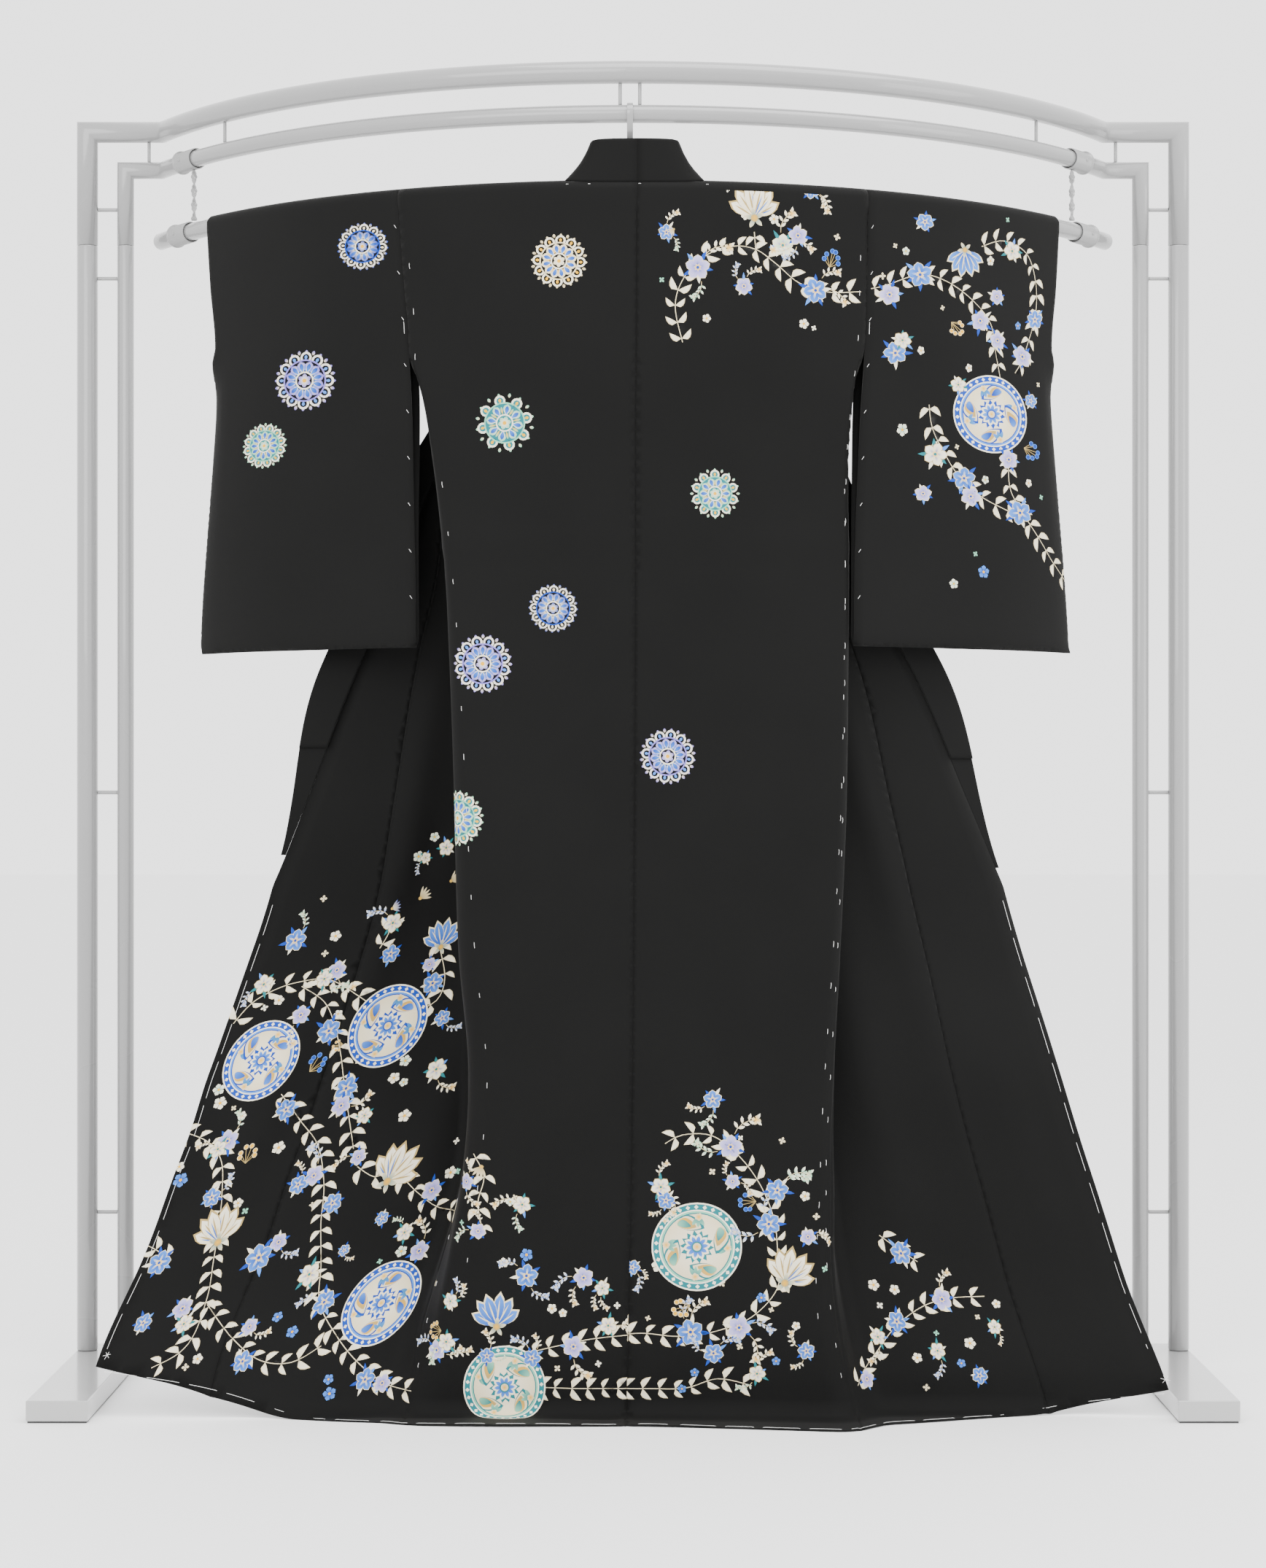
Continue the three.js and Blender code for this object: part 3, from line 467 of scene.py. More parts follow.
# height, seam, past, turn, pleat, crease, swing, bow
SECTIONS = {
    "left": (
        (1629, 318, 22, 180, 259, 85, 0, 1.247),
        (1570, 314, 22, 180, 254, 130, 0, 1.247),
        (1500, 308, 22, 180, 239, 176, 0, 1.247),
        (1440, 303, 22, 180, 222, 180, 0, 1.247),
        (1380, 304, -5, 178, 200, 178, 0, 1.2),
        (1286, 307, -29, 156, 166, 156, 0, 1.01),
        (1122, 308, -51, 145, 158, 145, -0.7, 0.71),
        (1030, 308, -58, 136, 160, 136, -1.4, 0.41),
        (820, 308, -69, 121, 166, 121, -2.6, 0.09),
        (620, 307, -79, 101, 187, 101, -2.6, -0.18),
        (450, 306, -94, 92, 168, 92, -4, -0.28),
        (330, 305, -84, 90, 120, 90, -4.6, -0.06),
        (180, 304, -61, 74, 88, 74, -4.5, -0.03),
        (60, 303, -39, 36, 61, 36, -6.5, 0.03),
        (0, 303, -14, 12, 44, 12, -9.5, 0.12),
    ),
    "right": (
        (1629, 318, 22, 180, 259, 85, 0, 1.247),
        (1570, 318, 22, 180, 254, 130, 0, 1.247),
        (1500, 316, 22, 180, 239, 176, 0, 1.247),
        (1440, 314, 22, 180, 222, 180, 0, 1.247),
        (1380, 308, 3, 179, 200, 179, 0, 1.24),
        (1286, 299, 4, 178, 172, 178, 0.5, 1.26),
        (1122, 296, 7, 173, 146, 173, 0, 1.19),
        (1030, 295, 6, 167, 122, 167, -0.8, 1.1),
        (820, 291, 4, 158, 98, 158, -3, 0.88),
        (620, 284, 0, 143, 79, 143, -2.5, 0.65),
        (450, 274, -2, 128, 69, 128, -3.6, 0.26),
        (330, 268, -1, 107, 62, 107, -1, 0.06),
        (180, 272, -10, 82, 55, 82, 4.2, -0.17),
        (60, 290, -15, 62, 55, 62, 9.1, -0.43),
        (0, 303, -15, 51, 63, 51, 12, -0.47),
    ),
}

# height, how far back, how far right
CENTRE_LINE = (
    (1629, 0, 5), (1440, 0, 4), (1290, 8, 3), (1155, 14, 3), (705, 26, 1), (300, 38, -3), (0, 44, -9),
)

# mark (centre seam, side seam, front seam, front edge), rise of the hem
HEM = {"left": ((0, -52), (1, -50), (2, 28), (3, 68)), "right": ((0, -52), (1, -72), (2, 0), (3, 36))}

# middle height, cloth place, slope, reach down, width, how far it stands out
RIDGES = {
    "left": ((760, 548, 0.02, 420, 26, 9), (520, 395, -0.05, 330, 34, 8), (330, 640, 0.1, 300, 30, 7),
             (640, 120, 0.03, 520, 34, 4), (300, 190, -0.08, 320, 30, 6)),
    "right": ((760, 520, 0.02, 420, 24, 8), (420, 420, -0.06, 330, 30, 7), (300, 610, 0.1, 280, 28, 6),
              (700, 150, -0.03, 480, 36, 4), (260, 90, 0.06, 300, 28, 5)),
}

# height, inner edge, outer edge
SLEEVES = {
    "left": ((1643, 318, 660), (1540, 311, 649), (1452, 304, 637), (1436, 303, 643), (1350, 298, 648),
             (1200, 297, 662), (1060, 296, 676), (1040, 296, 677), (1028, 297, 674)),
    "right": ((1643, 318, 660), (1540, 317, 650), (1452, 315, 639), (1436, 314, 644), (1350, 308, 652),
              (1200, 303, 668), (1060, 302, 684), (1040, 302, 686), (1030, 303, 690)),
}

# cloth place, place down the cloth, lean, half length, half width, height, of each wrinkle
WRINKLES = {
    "left": ((232, 100, 1.28, 90, 7, 2.4), (150, 468, 0.02, 150, 9, 1.1), (150, 484, 0.02, 150, 8, -1.0),
             (8, 16, 0.7, 14, 4, 1.4), (20, 30, 0.2, 16, 4, -1.2), (60, 700, 0.9, 90, 16, 1.5),
             (430, 620, 1.4, 120, 14, 1.8), (520, 900, 1.2, 130, 18, -1.8), (180, 1180, 1.3, 150, 20, 1.6)),
    "right": ((150, 472, -0.02, 150, 9, 1.0), (150, 488, -0.02, 150, 8, -1.0), (6, 20, 2.3, 14, 4, 1.2),
              (240, 130, 1.8, 80, 9, 1.6), (90, 840, 2.0, 90, 16, 1.4), (440, 700, 1.7, 120, 14, 1.8),
              (530, 1000, 1.9, 130, 18, -1.7), (200, 1240, 1.9, 140, 20, 1.5)),
}

# %% [markdown]
# Table values are joined by smooth curves that never overshoot. A section is walked as straight runs and
# round turns, bent to the bow, and lowered to its height; below the hem line the cloth bends and runs out
# on the floor.

# %% The form of one half
def smoothstep(x, a, b):
    t = np.clip((x - a) / (b - a), 0, 1)
    return t * t * (3 - 2 * t)


def read(rows, column, at):
    rising = 1 if rows[1][0] > rows[0][0] else -1
    i = 0
    while i < len(rows) - 2 and rising * (at - rows[i + 1][0]) > 0:
        i += 1
    span = rows[i + 1][0] - rows[i][0]
    f = min(max((at - rows[i][0]) / span, 0), 1)

    def rise(k):
        return (rows[k + 1][column] - rows[k][column]) / (rows[k + 1][0] - rows[k][0])

    def slope(k):
        before, after = rise(max(k - 1, 0)), rise(min(k, len(rows) - 2))
        return (before + after) / 2 if before * after > 0 else 0

    g, ff = 1 - f, f * f
    return ((1 + 2 * f) * g * g * rows[i][column] + f * g * g * span * slope(i)
            + ff * (3 - 2 * f) * rows[i + 1][column] - ff * g * span * slope(i + 1))


def walk(pieces, distance):
    """How far out and how far back the cloth has come, and which way it heads, after a distance."""
    out = rear = heading = 0.0
    for length, turn in pieces:
        step = np.minimum(distance, length)
        bend = turn * step / length
        chord = step * np.sinc(bend / math.tau)
        out = out + chord * np.cos(heading + bend / 2)
        rear = rear + chord * np.sin(heading + bend / 2)
        heading = heading + bend
        distance = distance - step
    return out, rear, heading


HEIGHTS = np.arange(POLE_HEIGHT + 1)


def ready(rows, column):
    """One column of a table, worked out for every whole millimetre of height."""
    return np.array([read(rows, column, h) for h in HEIGHTS])


class Half:
    """One half of the garment; its lengths may be single numbers or arrays."""

    def __init__(self, side):
        self.side = side
        self.sign = -1 if side == "left" else 1
        self.columns = [ready(SECTIONS[side], k) for k in range(1, 8)]
        self.middle_rear, self.middle_lean = ready(CENTRE_LINE, 1), ready(CENTRE_LINE, 2)
        self.sleeve = ready(SLEEVES[side], 1), ready(SLEEVES[side], 2)

    def pieces(self, h):
        seam, past, turn, pleat, crease, swing = (np.interp(h, HEIGHTS, c) for c in self.columns[:6])
        turn, crease, swing = np.radians(turn), np.radians(crease), np.radians(swing)
        first = seam + past - FOLD_LENGTH / 2
        second = pleat - FOLD_LENGTH / 2 - CREASE_LENGTH / 2
        return (first, 0), (FOLD_LENGTH, turn), (second, 0), (CREASE_LENGTH, swing - crease), (ENDLESS, 0)

    def seam(self, h):
        return np.interp(h, HEIGHTS, self.columns[0])

    def sleeve_inner(self, h):
        return np.interp(h, HEIGHTS, self.sleeve[0])

    def sleeve_outer(self, h):
        return np.interp(h, HEIGHTS, self.sleeve[1])

    def front_start(self, h):
        return self.seam(h) + FOLD_LENGTH * smoothstep(h, SLIT_FOOT, SLIT_TOP)

    def collar_line(self, h):
        slope = (FRONT - FRONT_TOP) / (POLE_HEIGHT - OVERLAP_TIP)
        return FRONT_TOP + slope * (POLE_HEIGHT - np.maximum(h, COLLAR_END))

    def front_end(self, h):
        return self.front_start(h) + np.minimum(self.collar_line(h), FRONT)

    def collar_seam(self, h):
        return self.front_start(h) + self.collar_line(h)

    def collar_width(self, h):
        return COLLAR_TIP + (COLLAR_FULL - COLLAR_TIP) * smoothstep(h, COLLAR_END, COLLAR_SPREAD)

    def overlap_end(self, h):
        slope = (self.collar_line(COLLAR_END) - FRONT - OVERLAP_HEM) / COLLAR_END
        low = self.front_end(h) + OVERLAP_HEM + slope * h
        return np.where(h > COLLAR_END, self.collar_seam(h), low)

    def place(self, cloth, hung):
        past = hung - (POLE_HEIGHT - LOWEST - FLOOR_BEND)
        angle = np.clip(past / FLOOR_BEND, 0, math.pi / 2)
        flat = np.maximum(past - FLOOR_BEND * math.pi / 2, 0)
        height = np.where(past <= 0, POLE_HEIGHT - hung, LOWEST + FLOOR_BEND * (1 - np.sin(angle)))
        toe = FLOOR_BEND * (1 - np.cos(angle)) + flat
        out, rear, heading = walk(self.pieces(height), cloth)
        stand = 0.0
        for middle, spot, slope, reach, width, high in RIDGES[self.side]:
            across = (cloth - spot - slope * (middle - height)) / width
            down = (height - middle) / reach
            stand = stand + high * np.exp(-across * across - down * down * 2)
        out = out + stand * np.sin(heading)
        rear = rear - stand * np.cos(heading) - CLOTH_RADIUS
        x, y, z = on_bow(out, rear, height, np.interp(height, HEIGHTS, self.columns[6]) / 1000)
        lean = np.interp(height, HEIGHTS, self.middle_lean) * np.maximum(0, 1 - cloth / LEAN_REACH) ** 2
        y = y + np.interp(height, HEIGHTS, self.middle_rear) - toe
        return np.stack(np.broadcast_arrays(self.sign * x + lean, y, z), axis=-1)

    def mark_at(self, cloth, h):
        """Where a place lies between the marks: 0 centre seam, 1 side seam, 2 front seam, 3 front edge."""
        seam = self.seam(h)
        return cloth / seam if cloth < seam else min(3, 1 + (cloth - seam) / FRONT)

    def hung_at(self, row, mark):
        return (POLE_HEIGHT - row) * (1 - read(HEM[self.side], 1, mark) / POLE_HEIGHT)

    def height_at(self, row, mark):
        return max(POLE_HEIGHT - self.hung_at(row, mark), 0)

    def skin(self, cloth, hung, out=0.0):
        """Points of the cloth in metres, with its small wrinkles, moved out by the given mm."""
        cloth, hung = np.asarray(cloth, float), np.asarray(hung, float)
        here = self.place(cloth, hung)
        normal = np.cross(self.place(cloth + PROBE, hung) - here, self.place(cloth, hung + PROBE) - here)
        normal *= -self.sign / np.linalg.norm(normal, axis=-1, keepdims=True)
        normal = np.where((cloth < 0.01)[..., None], (0, -1, 0), normal)
        return metres(here + normal * np.asarray(out + self.wrinkle(cloth, hung))[..., None])

    def wrinkle(self, cloth, hung):
        """Seams pull the cloth in by a hair, and long soft wrinkles cross it unevenly."""
        height = POLE_HEIGHT - hung
        stand, away = 0.0, smoothstep(cloth, 0, 30)
        for at, (deep, wide) in zip((0, self.seam(height), self.front_end(height)), SEAM_FOLDS):
            stand = stand - deep * np.exp(-((cloth - at) / wide) ** 2)
            stand = stand + 0.35 * away * np.exp(-((cloth - at - 9) / 5) ** 2) * np.sin(hung / 23 + at)
        for cu, cv, lean, long, wide, high in WRINKLES[self.side]:
            du, dv = cloth - cu, hung - cv
            along = du * math.cos(lean) + dv * math.sin(lean)
            aside = -du * math.sin(lean) + dv * math.cos(lean)
            stand = stand + away * high * np.exp(-((along / long) ** 2) - (aside / wide) ** 2)
        fade = smoothstep(hung, 4, 40)
        slow = np.sin(cloth / 61 + 1.7 * np.sin(hung / 310)) * np.sin(hung / 190 + self.sign)
        return fade * (stand + 1.1 * away * slow)


def metres(points):
    return (points + np.array((0, BOW_Y, 0))) * MM


HALVES = {"left": Half("left"), "right": Half("right")}

# %% [markdown]
# One point is enough to see that the form works: the centre seam has to end just over the floor, at x
# near zero.

# %% Try the form
foot = HALVES["left"].skin(0, POLE_HEIGHT).tolist()
print("centre of the hem, m:", [round(v, 3) for v in foot])

# %% [markdown]
# The cloth is dyed before it is sewn, so the pattern is drawn on the flat charts. Every motif is a stack
# of plain polygons, each with one colour at its middle and another at its rim, as if brushed from wet to
# dry.

# %% Dye colours
CREAM, WHITE, SKY = (0.66, 0.57, 0.37), (0.78, 0.74, 0.60), (0.07, 0.21, 0.60)
BLUE, LILAC, MINT = (0.010, 0.05, 0.32), (0.19, 0.16, 0.50), (0.20, 0.46, 0.32)
TEAL, GOLD, SAND = (0.015, 0.15, 0.17), (0.70, 0.36, 0.012), (0.36, 0.26, 0.10)
BLACK = (0.0035, 0.0035, 0.0034)
DYES = {"cream": (CREAM, WHITE, SAND), "mint": (MINT, WHITE, CREAM), "blue": (BLUE, SKY, CREAM),
        "lilac": (LILAC, (0.46, 0.43, 0.66), CREAM), "gold": (GOLD, CREAM, SAND)}


def turned(points, centre, angle, size=1.0):
    c, s = math.cos(angle) * size, math.sin(angle) * size
    return [(centre[0] + x * c - y * s, centre[1] + x * s + y * c) for x, y in points]


def beside(centre, reach, angle):
    return centre[0] + reach * math.cos(angle), centre[1] + reach * math.sin(angle)


def petal(length, width, blunt=1.0, steps=5):
    """A petal from (0, 0) along x; a blunt one is widest near its tip."""
    parts = [i / steps for i in range(1, steps)]
    side = [(length * t, width / 2 * math.sin(math.pi * t ** blunt) ** 0.75) for t in parts]
    return [(0, 0)] + [(x, -y) for x, y in side] + [(length, 0)] + side[::-1]


def disc(radius, sides=14):
    return [beside((0, 0), radius, math.tau * i / sides) for i in range(sides)]


def star(outer, inner, points):
    return [beside((0, 0), (outer, inner)[i % 2], math.pi * i / points) for i in range(2 * points)]


# %% [markdown]
# A drawing collects shapes in the order they are laid down. Rings of petals, discs and stars are enough
# for all the flowers, and a slight random turn keeps any two from matching.

# %% Drawing shapes
class Drawing:
    def __init__(self, seed):
        self.shapes = []
        self.dice = random.Random(seed)

    def lay(self, points, middle, near, far):
        reach = max(math.dist(p, middle) for p in points)
        self.shapes.append((points, middle, reach, near, far))

    def put(self, outline, root, angle, near, far, size=1.0):
        self.lay(turned(outline, root, angle, size), root, near, far)

    def spot(self, centre, radius, sides, near, far):
        self.put(disc(radius, sides), centre, 0, near, far)

    def stem(self, root, angle, long, half_width, near, far):
        outline = [(0, -half_width), (long, -half_width), (long, half_width), (0, half_width)]
        self.put(outline, root, angle, near, far)

    def ring(self, centre, count, outline, near, far, start=0.0, out=0.0):
        for i in range(count):
            angle = start + math.tau * i / count
            self.put(outline, beside(centre, out, angle), angle, near, far)

    def rimmed(self, centre, count, length, width, blunt, near, far, line, start):
        self.ring(centre, count, petal(length + 1.0, width + 1.5, blunt), line, line, start)
        self.ring(centre, count, petal(length, width, blunt), near, far, start, 0.3)


# %% [markdown]
# The flowers below are plain kinds that any kimono might carry: five-petalled blossoms with leaf tufts,
# tulip cups, berry sprays, lace medallions, and round medallions that hold four curled drops.

# %% Blossoms, cups and berries
BLOOM_SHARE = 0.87  # of the size in the table, which counts the leaves in
CUP_PETALS = ((-1.05, 0.85), (1.05, 0.85), (-0.6, 0.98), (0.6, 0.98), (-0.2, 1.05), (0.25, 1.02))


def bloom(d, centre, size, dye):
    near, far, line = DYES[dye]
    size *= BLOOM_SHARE
    start = d.dice.uniform(0, math.tau)
    leaf = TEAL if dye in ("cream", "mint") else BLUE
    for i, shade in enumerate((leaf, CREAM, leaf, SKY, leaf)):
        angle = start + 0.55 + math.tau * i / 5 + d.dice.uniform(-0.2, 0.2)
        far_shade = WHITE if shade == CREAM else shade
        long = size * d.dice.uniform(1.2, 1.6)
        d.put(petal(long, size * 0.34, 1.0, 4), centre, angle, shade, far_shade)
    d.rimmed(centre, 5, size * 0.98, size * 0.74, 1.35, near, far, line, start)
    vein = BLUE if dye != "blue" else CREAM
    d.ring(centre, 5, petal(size * 0.7, size * 0.2, 1.0, 3), vein, far, start, size * 0.06)
    d.put(star(size * 0.34, size * 0.2, 7), centre, start, GOLD, CREAM)
    d.spot(centre, size * 0.13, 8, leaf, leaf)


def sprig(d, root, angle, long):
    """A short curved stem with a few leaves and a bud."""
    spots = [beside(root, long * t, angle + 0.7 * t) for t in (0, 0.25, 0.5, 0.75, 1)]
    shade = d.dice.choice((CREAM, SKY, MINT, CREAM))
    for a, b in zip(spots, spots[1:]):
        way = math.atan2(b[1] - a[1], b[0] - a[0])
        d.stem(a, way, math.dist(a, b), 0.4, SAND, CREAM)
        for hand in (-1, 1):
            d.put(petal(long * 0.3, long * 0.13, 1.0, 3), b, way + hand * 0.9, shade, WHITE)
    heart = GOLD if shade == CREAM else CREAM
    d.ring(spots[-1], 4, petal(long * 0.2, long * 0.16, 1.6, 3), heart, shade, angle)


def tulip(d, centre, size, dye):
    near, far, line = DYES[dye]
    start = -math.pi / 2 + d.dice.uniform(-0.5, 0.5)
    root = beside(centre, -size * 0.35, start)
    for spread, long in CUP_PETALS:
        for grow, a, b in ((1.06, line, line), (0.96, near, far)):
            d.put(petal(size * 1.3 * long * grow, size * 0.46 * grow, 1.3), root, start + spread, a, b)
        d.put(petal(size * 1.05 * long, size * 0.07), root, start + spread, line, line)
        d.put(petal(size * 0.9 * long, size * 0.05), root, start + spread + 0.12, BLUE, SKY)
    low = beside(centre, -size * 0.4, start)
    d.ring(low, 5, petal(size * 0.42, size * 0.18), TEAL, CREAM, start + math.pi - 0.8)
    d.spot(low, size * 0.15, 10, GOLD, SAND)


def berries(d, centre, size, dye):
    near, far, _ = DYES[dye]
    start = d.dice.uniform(0, math.tau)
    for i in range(6):
        angle = start + 0.34 * (i - 2.5) + d.dice.uniform(-0.1, 0.1)
        reach = size * (1.35 - 0.24 * abs(i - 2.5))
        end = beside(centre, reach, angle)
        d.stem(centre, angle, reach, 0.35, SAND, SAND)
        d.spot(end, size * 0.19, 9, far, far)
        d.spot(end, size * 0.15, 8, near, near)


def tuft(d, centre, size, dye):
    near, _, line = DYES[dye]
    start = d.dice.uniform(0, math.tau)
    for i in range(5):
        d.put(petal(size, size * 0.2), centre, start + 0.36 * i, line, near)
    d.spot(centre, size * 0.16, 8, GOLD, SAND)


# %% [markdown]
# A medallion is rings within rings. The lace ones end in small beads, and the round ones have a beaded rim.

# %% Medallions
def lace(d, centre, size, dye):
    near, _, line = DYES[dye]
    count = d.dice.choice((8, 10, 12))
    start = d.dice.uniform(0, 1)
    accent = {"cream": GOLD, "mint": GOLD, "blue": CREAM, "lilac": SKY}[dye]
    ground = TEAL if dye == "mint" else BLACK
    between = start + math.pi / count
    d.ring(centre, 2 * count, petal(size * 0.15, size * 0.1), line, near, start, size * 0.86)
    d.ring(centre, count, disc(size * 0.19, 12), near, WHITE, start, size * 0.76)
    d.ring(centre, count, disc(size * 0.12, 9), ground, ground, start, size * 0.76)
    d.ring(centre, count, petal(size * 0.16, size * 0.1, 1.4), accent, accent, start, size * 0.68)
    d.spot(centre, size * 0.7, 40, near, near)
    d.spot(centre, size * 0.65, 40, ground, ground)
    d.ring(centre, count, petal(size * 0.4, size * 0.27, 1.5), WHITE, near, between, size * 0.25)
    d.ring(centre, count, petal(size * 0.3, size * 0.14, 1.4), SKY, BLUE, between, size * 0.28)
    d.ring(centre, count, petal(size * 0.26, size * 0.08, 1.2), accent, near, start, size * 0.3)
    d.spot(centre, size * 0.3, 24, near, WHITE)
    d.spot(centre, size * 0.25, 24, ground, ground)
    d.ring(centre, 6, petal(size * 0.23, size * 0.15, 1.5), WHITE, near, start)
    d.spot(centre, size * 0.07, 8, GOLD, GOLD)


def curled_drop(long):
    """A drop whose thin end curls aside."""
    spine = [(long * t, long * 0.34 * t * t * t) for t in (i / 9 for i in range(10))]
    wide = [long * 0.33 * math.sin(math.pi * min(1, (1 - i / 9) * 0.92 + 0.04)) ** 0.8 for i in range(10)]
    low = [(x, y - w) for (x, y), w in zip(spine, wide)]
    high = [(x, y + w) for (x, y), w in zip(spine, wide)]
    return low + high[::-1]


def round_medal(d, centre, size, dye):
    rim, band = (BLUE, SKY) if dye in ("cream", "gold", "blue") else (TEAL, MINT)
    start = d.dice.uniform(0, 1)
    d.spot(centre, size, 48, CREAM, WHITE)
    d.spot(centre, size * 0.965, 48, rim, rim)
    d.ring(centre, 30, disc(size * 0.05, 4), CREAM, WHITE, start, size * 0.9)
    d.spot(centre, size * 0.84, 44, WHITE, WHITE)
    d.spot(centre, size * 0.81, 44, band, band)
    d.spot(centre, size * 0.77, 40, rim, rim)
    d.spot(centre, size * 0.745, 40, WHITE, CREAM)
    for i in range(4):
        angle = start + math.tau * i / 4
        root = beside(centre, size * 0.66, angle + 0.35)
        for grow, a, b in ((1, rim, rim), (0.88, CREAM, CREAM), (0.7, GOLD, SAND), (0.5, band, rim)):
            d.put(curled_drop(size * 0.56), root, angle + math.pi - 0.75, a, b, grow)
        leaf = beside(centre, size * 0.68, angle - 0.45)
        for k in (-0.6, 0, 0.6):
            d.put(petal(size * 0.24, size * 0.09), leaf, angle - 0.45 + math.pi + k, TEAL, band)
        d.ring(leaf, 5, petal(size * 0.09, size * 0.08, 1.6), GOLD, CREAM, angle)
    d.put(star(size * 0.38, size * 0.28, 14), centre, start, rim, rim)
    d.ring(centre, 10, petal(size * 0.31, size * 0.15, 1.5), CREAM, WHITE, start)
    d.ring(centre, 10, petal(size * 0.25, size * 0.09, 1.4), BLUE, SKY, start)
    d.spot(centre, size * 0.12, 14, rim, rim)
    d.spot(centre, size * 0.09, 12, GOLD, CREAM)


def dot(d, centre, size):
    start = d.dice.uniform(0, 1)
    if size > 5:
        near, far, _ = DYES[d.dice.choice(("cream", "mint", "cream", "blue"))]
        d.ring(centre, 5, petal(size, size * 0.8, 1.8, 4), near, far, start)
        d.spot(centre, size * 0.22, 7, GOLD, GOLD)
    else:
        shade = d.dice.choice((CREAM, MINT, WHITE, CREAM))
        d.ring(centre, 4, petal(size, size * 0.7, 1.5, 3), shade, shade, start)


VINE_STEP = 6.5


def vine(d, line):
    """A thin stem through the points, with half-heart leaves in pairs along it."""
    spots = []
    for i in range(len(line) - 1):
        p0, p1, p2, p3 = (line[min(max(k, 0), len(line) - 1)] for k in (i - 1, i, i + 1, i + 2))
        count = max(2, int(math.dist(p1, p2) / VINE_STEP))
        for j in range(count):
            t = j / count
            spots.append(tuple(
                0.5 * (
                    2 * b + (c - a) * t + (2 * a - 5 * b + 4 * c - e) * t * t
                    + (3 * b - a - 3 * c + e) * t ** 3
                )
                for a, b, c, e in zip(p0, p1, p2, p3)
            ))
    spots.append(line[-1])
    for a, b in zip(spots, spots[1:]):
        angle = math.atan2(b[1] - a[1], b[0] - a[0])
        d.stem(a, angle, math.dist(a, b), 0.5, CREAM, CREAM)
    for k in range(1, len(spots) - 1, 3):
        angle = math.atan2(spots[k + 1][1] - spots[k - 1][1], spots[k + 1][0] - spots[k - 1][0])
        size = d.dice.uniform(15, 21)
        for hand in (-1, 1):
            lean = angle + hand * d.dice.uniform(0.75, 1.0)
            for grow, a, b in ((1.0, SAND, CREAM), (0.9, CREAM, WHITE)):
                leaf = [(x, hand * (y * 0.55 + abs(y) * 0.45)) for x, y in petal(size, size * 0.78, 0.75, 4)]
                d.put(leaf, beside(spots[k], 0.6, lean), lean, a, b, grow)


MAKERS = {
    "bloom": bloom, "tulip": tulip, "berries": berries, "tuft": tuft, "lace": lace, "round": round_medal,
}
